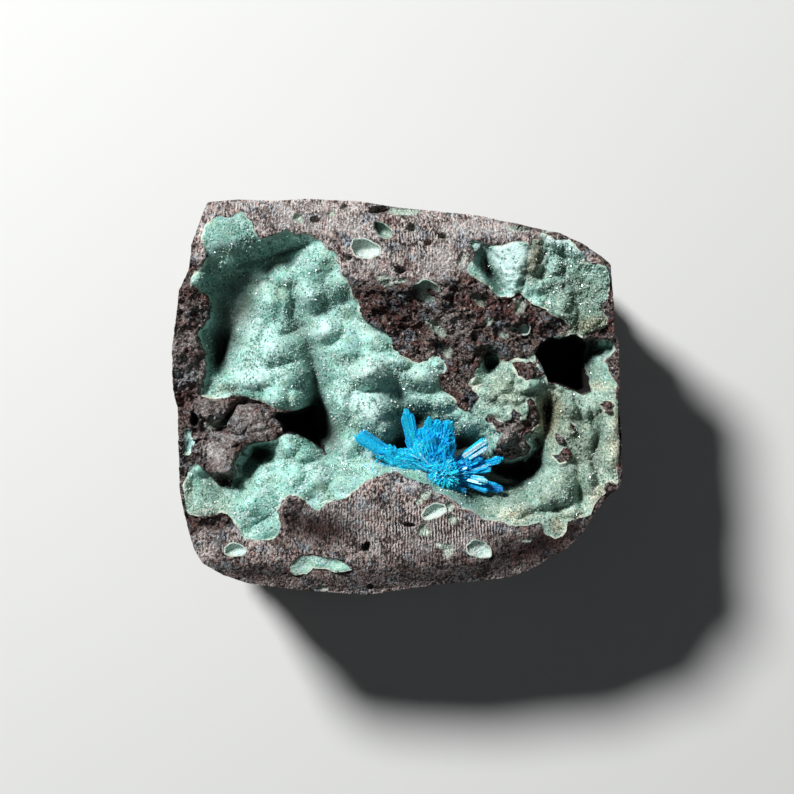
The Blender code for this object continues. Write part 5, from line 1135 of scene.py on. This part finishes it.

# ---------------------------------------------------------------------------------------------------------
# Cavansite: vivid blue laths grown outward from one spot in the pocket, and a small tuft beside them. The
# long blades are sheaves of parallel laths; the middle is a mass of short ones.
# ---------------------------------------------------------------------------------------------------------
# Sheaves: foot (x, y, depth), tip, half width, half thickness, how blunt, laths, spread of their ends, tone. A
# very low tone paints a blade dark as shade, and a tone near 1 paints it whitish as a reflection.
SHEAVES = [
    ((0.8, -8.8, 2.2), (-5.15, -5.0, 1.5), 1.15, 0.12, 0.95, 12, 0.2, 0.45),
    ((1.2, -9.0, 2.9), (-3.2, -6.5, 2.1), 1.25, 0.2, 0.9, 10, 0.6, 0.35),
    ((2.5, -8.0, 2.6), (1.15, -1.5, 1.4), 1.0, 0.12, 0.0, 12, 0.1, 0.55),
    ((2.8, -8.4, 3.0), (1.6, -4.4, 1.9), 1.05, 0.2, 0.6, 9, 0.7, 0.45),
    ((3.0, -8.6, 2.6), (-1.4, -8.4, 2.0), 0.8, 0.2, 0.7, 16, 1.6, 0.4),
    ((4.2, -8.8, 4.6), (3.2, -4.0, 1.9), 0.8, 0.4, 0.5, 16, 0.9, 0.6),
    ((4.6, -8.8, 4.6), (4.2, -2.6, 1.4), 0.75, 0.4, 0.3, 20, 0.8, 0.6),
    ((5.2, -8.8, 4.6), (5.3, -3.0, 1.3), 0.9, 0.4, 0.4, 22, 0.7, 0.45),
    ((6.0, -8.8, 4.6), (6.9, -3.0, 1.4), 1.0, 0.4, 0.5, 24, 0.7, 0.5),
    ((5.4, -9.0, 4.0), (4.6, -5.0, 0.9), 1.2, 0.35, 0.6, 18, 1.2, 0.5),
    ((6.2, -9.2, 4.0), (6.6, -5.6, 0.9), 1.2, 0.35, 0.6, 18, 1.2, 0.4),
    ((7.8, -9.0, 4.6), (11.95, -6.0, 1.9), 0.95, 0.3, 0.8, 10, 0.2, 0.6),
    ((8.8, -7.9, 2.4), (11.9, -5.8, 1.5), 0.42, 0.1, 0.9, 4, 0.3, 1.0),
    ((9.6, -8.2, 2.5), (12.0, -6.7, 1.6), 0.3, 0.1, 0.9, 3, 0.3, 1.0),
    ((8.0, -9.6, 4.4), (11.4, -7.9, 2.3), 0.6, 0.35, 0.4, 12, 0.5, 0.3),
    ((8.4, -9.8, 4.6), (14.1, -8.15, 2.3), 0.6, 0.3, 0.3, 9, 0.3, 0.5),
    ((9.9, -9.75, 2.4), (12.5, -8.85, 1.9), 0.16, 0.08, 0.8, 2, 0.2, 1.0),
    ((8.4, -10.2, 4.4), (12.8, -9.6, 2.6), 0.5, 0.3, 0.4, 8, 0.5, 0.35),
    ((8.2, -10.5, 4.0), (12.1, -11.3, 2.2), 0.65, 0.3, 0.6, 9, 0.3, 0.6),
    ((10.6, -10.9, 2.0), (12.1, -11.2, 1.9), 0.4, 0.1, 0.8, 3, 0.2, 0.97),
    ((8.2, -10.8, 4.6), (14.2, -12.4, 3.6), 0.75, 0.25, 0.4, 8, 0.4, 0.1),
    ((7.8, -11.0, 4.6), (12.2, -12.5, 3.0), 0.5, 0.3, 0.3, 8, 0.4, 0.25),
    ((7.0, -11.2, 4.2), (9.3, -12.7, 2.8), 0.45, 0.3, 0.4, 8, 0.4, 0.4),
    ((6.0, -10.4, 4.2), (6.6, -12.9, 2.4), 0.6, 0.3, 0.4, 10, 0.5, 0.6),
    ((5.4, -10.0, 4.0), (3.9, -12.1, 2.0), 0.6, 0.3, 0.4, 10, 0.5, 0.5),
]
# Masses of short laths: centre, radii, way the laths lean, how far they fan out, laths, tone. The higher the
# tone, the more of their laths are painted whitish as reflections.
MASSES = [
    ((5.4, -7.8, 2.9), (2.2, 1.8, 1.6), (0.1, 0.6, 0.5), 0.4, 520, 0.5),
    ((6.1, -10.1, 2.8), (2.3, 2.0, 1.7), (0, 0.1, 0.2), 1.0, 600, 0.72),
    ((5.2, -9.2, 2.2), (1.2, 1.1, 0.9), (-0.3, 0.4, 0.1), 0.8, 170, 0.8),
    ((7.0, -9.3, 2.1), (1.0, 1.3, 0.9), (0.3, 0.5, 0.1), 0.8, 170, 0.76),
    ((5.3, -11.1, 2.3), (1.3, 1.0, 0.9), (-0.3, -0.4, 0.1), 0.8, 170, 0.78),
    ((7.1, -10.9, 2.2), (1.2, 1.0, 0.9), (0.4, -0.3, 0.1), 0.8, 170, 0.84),
    ((6.2, -9.9, 1.9), (1.2, 1.1, 0.8), (0, 0, 0), 1.2, 200, 0.92),
    ((4.5, -5.6, 2.3), (1.4, 2.2, 1.0), (-0.2, 1.0, 0.4), 0.3, 420, 0.6),
    ((6.4, -5.4, 2.3), (1.3, 2.3, 1.0), (0.15, 1.0, 0.4), 0.3, 420, 0.52),
    ((8.6, -9.8, 3.8), (1.5, 1.6, 1.4), (0.8, 0.1, 0.4), 0.4, 420, 0.3),
    ((1.3, -8.1, 2.3), (2.6, 1.2, 0.8), (-0.8, 0.4, 0.3), 0.25, 1000, 0.7),
    ((3.0, -6.8, 2.0), (0.8, 1.4, 0.6), (-0.4, 0.8, 0.4), 0.3, 240, 0.8),
    ((5.0, -11.5, 3.2), (1.4, 1.2, 1.1), (0, -0.5, 0.4), 0.9, 380, 0.66),
    ((7.2, -11.8, 3.4), (1.3, 1.1, 1.0), (0.2, -0.5, 0.4), 0.9, 340, 0.56),
    ((-1.6, -9.3, 2.7), (1.4, 0.4, 0.5), (-0.4, 0.2, 0.6), 0.4, 80, 0.5),
    ((-1.3, -7.3, 2.0), (1.5, 0.9, 0.5), (-0.8, 0.5, 0.4), 0.3, 260, 0.6),
]
TUFT_MASSES = [((-3.1, -9.85, 2.2), (0.6, 0.5, 0.7), (0, 0, 0.5), 0.6, 150, 0.82)]
# Cross section of a lath, in half widths and half thicknesses.
LATH_SECTION = [(1, 0), (0.75, 0.9), (-0.75, 0.9), (-1, 0), (-0.75, -0.9), (0.75, -0.9)]
CORNERS = len(LATH_SECTION)
# From this tone up, a lath is painted whitish at its tip as a reflection.
PAINTED_REFLECTION_TONE = 0.9  # tone from which a lath has a whitish tip


def lath_points(foot, tip, flat_way, half_width, half_thickness, blunt, slant):
    """Points of one lath in three rings, from its foot over its shoulder to its slanting end."""
    along = tip - foot
    length = along.length
    along.normalize()
    side = (flat_way - along * flat_way.dot(along)).normalized()
    across = along.cross(side)
    shoulder = 1 - min(0.5, 1.5 * half_width * (1 - 0.6 * blunt) / length)
    points = []
    for share, scale in ((0, 0.7), (shoulder, 1), (1, max(0.15, blunt))):
        for u, v in LATH_SECTION:
            lean = slant * u * half_width * (share == 1)
            offset = side * (u * half_width * scale) + across * (v * half_thickness * scale)
            points.append(foot + along * (share * length + lean) + offset)
    return points


def lath_faces(first):
    """Faces of one lath, of which the first point has this number."""
    faces = []
    for ring in (first, first + CORNERS):
        for i in range(CORNERS):
            j = (i + 1) % CORNERS
            faces.append((ring + i, ring + j, ring + CORNERS + j, ring + CORNERS + i))
    faces.append([first + i for i in reversed(range(CORNERS))])
    faces.append([first + 2 * CORNERS + i for i in range(CORNERS)])
    return faces


def spray(name, sheaves, masses):
    """Sheaves and masses of laths joined in one piece."""
    points, faces, tones, reaches = [], [], [], []

    def add(foot, tip, flat_way, width, thickness, blunt, slant, tone):
        faces.extend(lath_faces(len(points)))
        points.extend(lath_points(foot, tip, flat_way, width, thickness, blunt, slant))
        tones.extend([min(1, max(0, tone))] * 3 * CORNERS)
        reaches.extend([0] * CORNERS + [0.8] * CORNERS + [1] * CORNERS)

    for foot, tip, half_width, half_thick, blunt, count, spread, tone in sheaves:
        foot, tip = (Vector((x, y, FRONT - depth)) for x, y, depth in (foot, tip))
        along = (tip - foot).normalized()
        side = along.cross(Vector((0, 0, 1))).normalized()
        up = side.cross(along).normalized()
        for i in range(count):
            width = half_width * (0.22 + 0.3 * dice.random())
            u = ((i + 0.5) / count * 2 - 1) * (1 - width / half_width)
            v = (dice.random() * 2 - 1) * math.sqrt(max(0.05, 1 - u * u))
            end_loss = abs(u) ** 1.4 * (1 - blunt) * 2.8 * half_width + dice.random() * spread
            end = tip + side * (u * half_width) + up * (v * half_thick) - along * end_loss
            start = foot + side * (u * half_width * 0.8) + up * (v * half_thick)
            way = side + up * dice.normal() * 0.22
            shade = min(0.88, tone + dice.normal() * 0.15) if tone < PAINTED_REFLECTION_TONE else tone
            thickness, bluntness = 0.12 + 0.1 * dice.random(), 0.55 + 0.4 * dice.random()
            add(start, end, way, width, thickness, bluntness, dice.normal() * 0.5, shade)
    for centre, radii, lean, fan, count, tone in masses:
        centre = Vector((centre[0], centre[1], FRONT - centre[2]))
        for _ in range(count):
            way = Vector(dice.normal(size=3)).normalized()
            way.z = abs(way.z)
            surface = centre + Vector(radii) * way * (0.62 + 0.5 * dice.random())
            surface.z = min(surface.z, FRONT - 0.3)
            fanned = Vector((way.x, way.y, 0.35 * way.z)) * fan
            heading = (fanned + 1.2 * Vector(lean) + 0.2 * Vector(dice.normal(size=3))).normalized()
            foot = surface - heading * (1.2 + 1.3 * dice.random())
            width = 0.06 + (0.2 if fan > 0.35 else 0.26) * dice.random() ** 2
            shade = 0.96 if dice.random() < 0.42 * tone**5 else min(0.88, tone + dice.normal() * 0.17)
            way = Vector(dice.normal(size=3))
            add(foot, surface, way, width, 0.45 * width, 0.3 + 0.6 * dice.random(), dice.normal() * 0.6, shade)
    return new_piece(name, [tuple(p) for p in points], faces, ("tone", tones), ("reach", reaches))


cluster = spray("cavansite_spray", SHEAVES, MASSES)
tuft = spray("cavansite_small_tuft", [], TUFT_MASSES)
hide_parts("cavansite_cluster")
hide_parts("cavansite_tuft")

# Cavansite: glassy to pearly, saturated greenish blue, darker at the feet of the laths and painted whitish as a
# reflection at a few tips and laths.
blue_stone, tree, shader, place, tone, reach = new_material("cavansite", "tone", "reach")
fine = pattern(tree, place, 0.2, 3.0, 0.6)
blue = layered(tree, "0072C6", [
    (tone, 0, 0.5, 1, "00BEFF"),
    (tone, 0.5, 0.88, 1, "1CE4FF"),
    (fine, 0.54, 0.66, 0.6, "70ECFF"),
    (fine, 0.46, 0.36, 0.6, "0064A8"),
    (reach, 0.5, 0.0, 0.35, "0070B8"),
    (tone, 0.93, 0.98, 1, "3CD4FF", "E0F8FF"),
], add_node(tree, "MapRange", (fine, 0.42, 0.56)))
glow = {"Subsurface Weight": 0.45, "Subsurface Radius": (0.1, 0.8, 1.0), "Subsurface Scale": 0.4 * MM}
set_surface(tree, shader, blue, {"Roughness": 0.3, "IOR": 1.54, **glow}, fine, 0.05, 0.35)
for piece in (cluster, tuft):
    piece.data.materials.append(blue_stone)

# ---------------------------------------------------------------------------------------------------------
# Stage: a plain pale table, one large soft lamp from the upper left and a weak one opposite, the camera
# straight above the front face.
# ---------------------------------------------------------------------------------------------------------
bpy.ops.mesh.primitive_plane_add(size=4)
floor = bpy.context.object
floor.name = "floor"
floor.location.z = -0.2 * MM
paper, tree, shader, place = new_material("pale paper")
shader.inputs["Base Color"].default_value = colour("D9DAD8")
shader.inputs["Roughness"].default_value = 0.9
floor.data.materials.append(paper)


def add_lamp(name, place, size, power, tint):
    """A round soft lamp that shines on the middle of the front."""
    lamp = bpy.data.lights.new(name, "AREA")
    lamp.shape = "DISK"
    lamp.size = size
    lamp.energy = power
    lamp.color = colour(tint)[:3]
    obj = bpy.data.objects.new(name, lamp)
    bpy.context.collection.objects.link(obj)
    obj.location = place
    obj.rotation_euler = (Vector((0, 0, FRONT * MM)) - Vector(place)).to_track_quat("-Z", "Y").to_euler()
    return obj


key = add_lamp("key lamp", (-0.34, 0.38, 0.50), 0.15, 8.0, "FFFFFF")
fill = add_lamp("fill lamp", (0.30, -0.1, 0.7), 0.5, 0.22, "F2F6FF")
world = bpy.data.worlds.new("soft studio")
world.use_nodes = True
world.node_tree.nodes["Background"].inputs["Color"].default_value = colour("DDE2E6")
world.node_tree.nodes["Background"].inputs["Strength"].default_value = 0.022
bpy.context.scene.world = world

CAMERA_HEIGHT = 350.0  # above the front face
FIELD = 104.8  # width seen at the front face
lens = bpy.data.cameras.new("camera")
lens.sensor_width = 36
lens.lens = lens.sensor_width * CAMERA_HEIGHT / FIELD
camera = bpy.data.objects.new("camera", lens)
bpy.context.collection.objects.link(camera)
camera.location = (0, 0, (FRONT + CAMERA_HEIGHT) * MM)
bpy.context.scene.camera = camera
bpy.context.scene.view_settings.view_transform = "Standard"
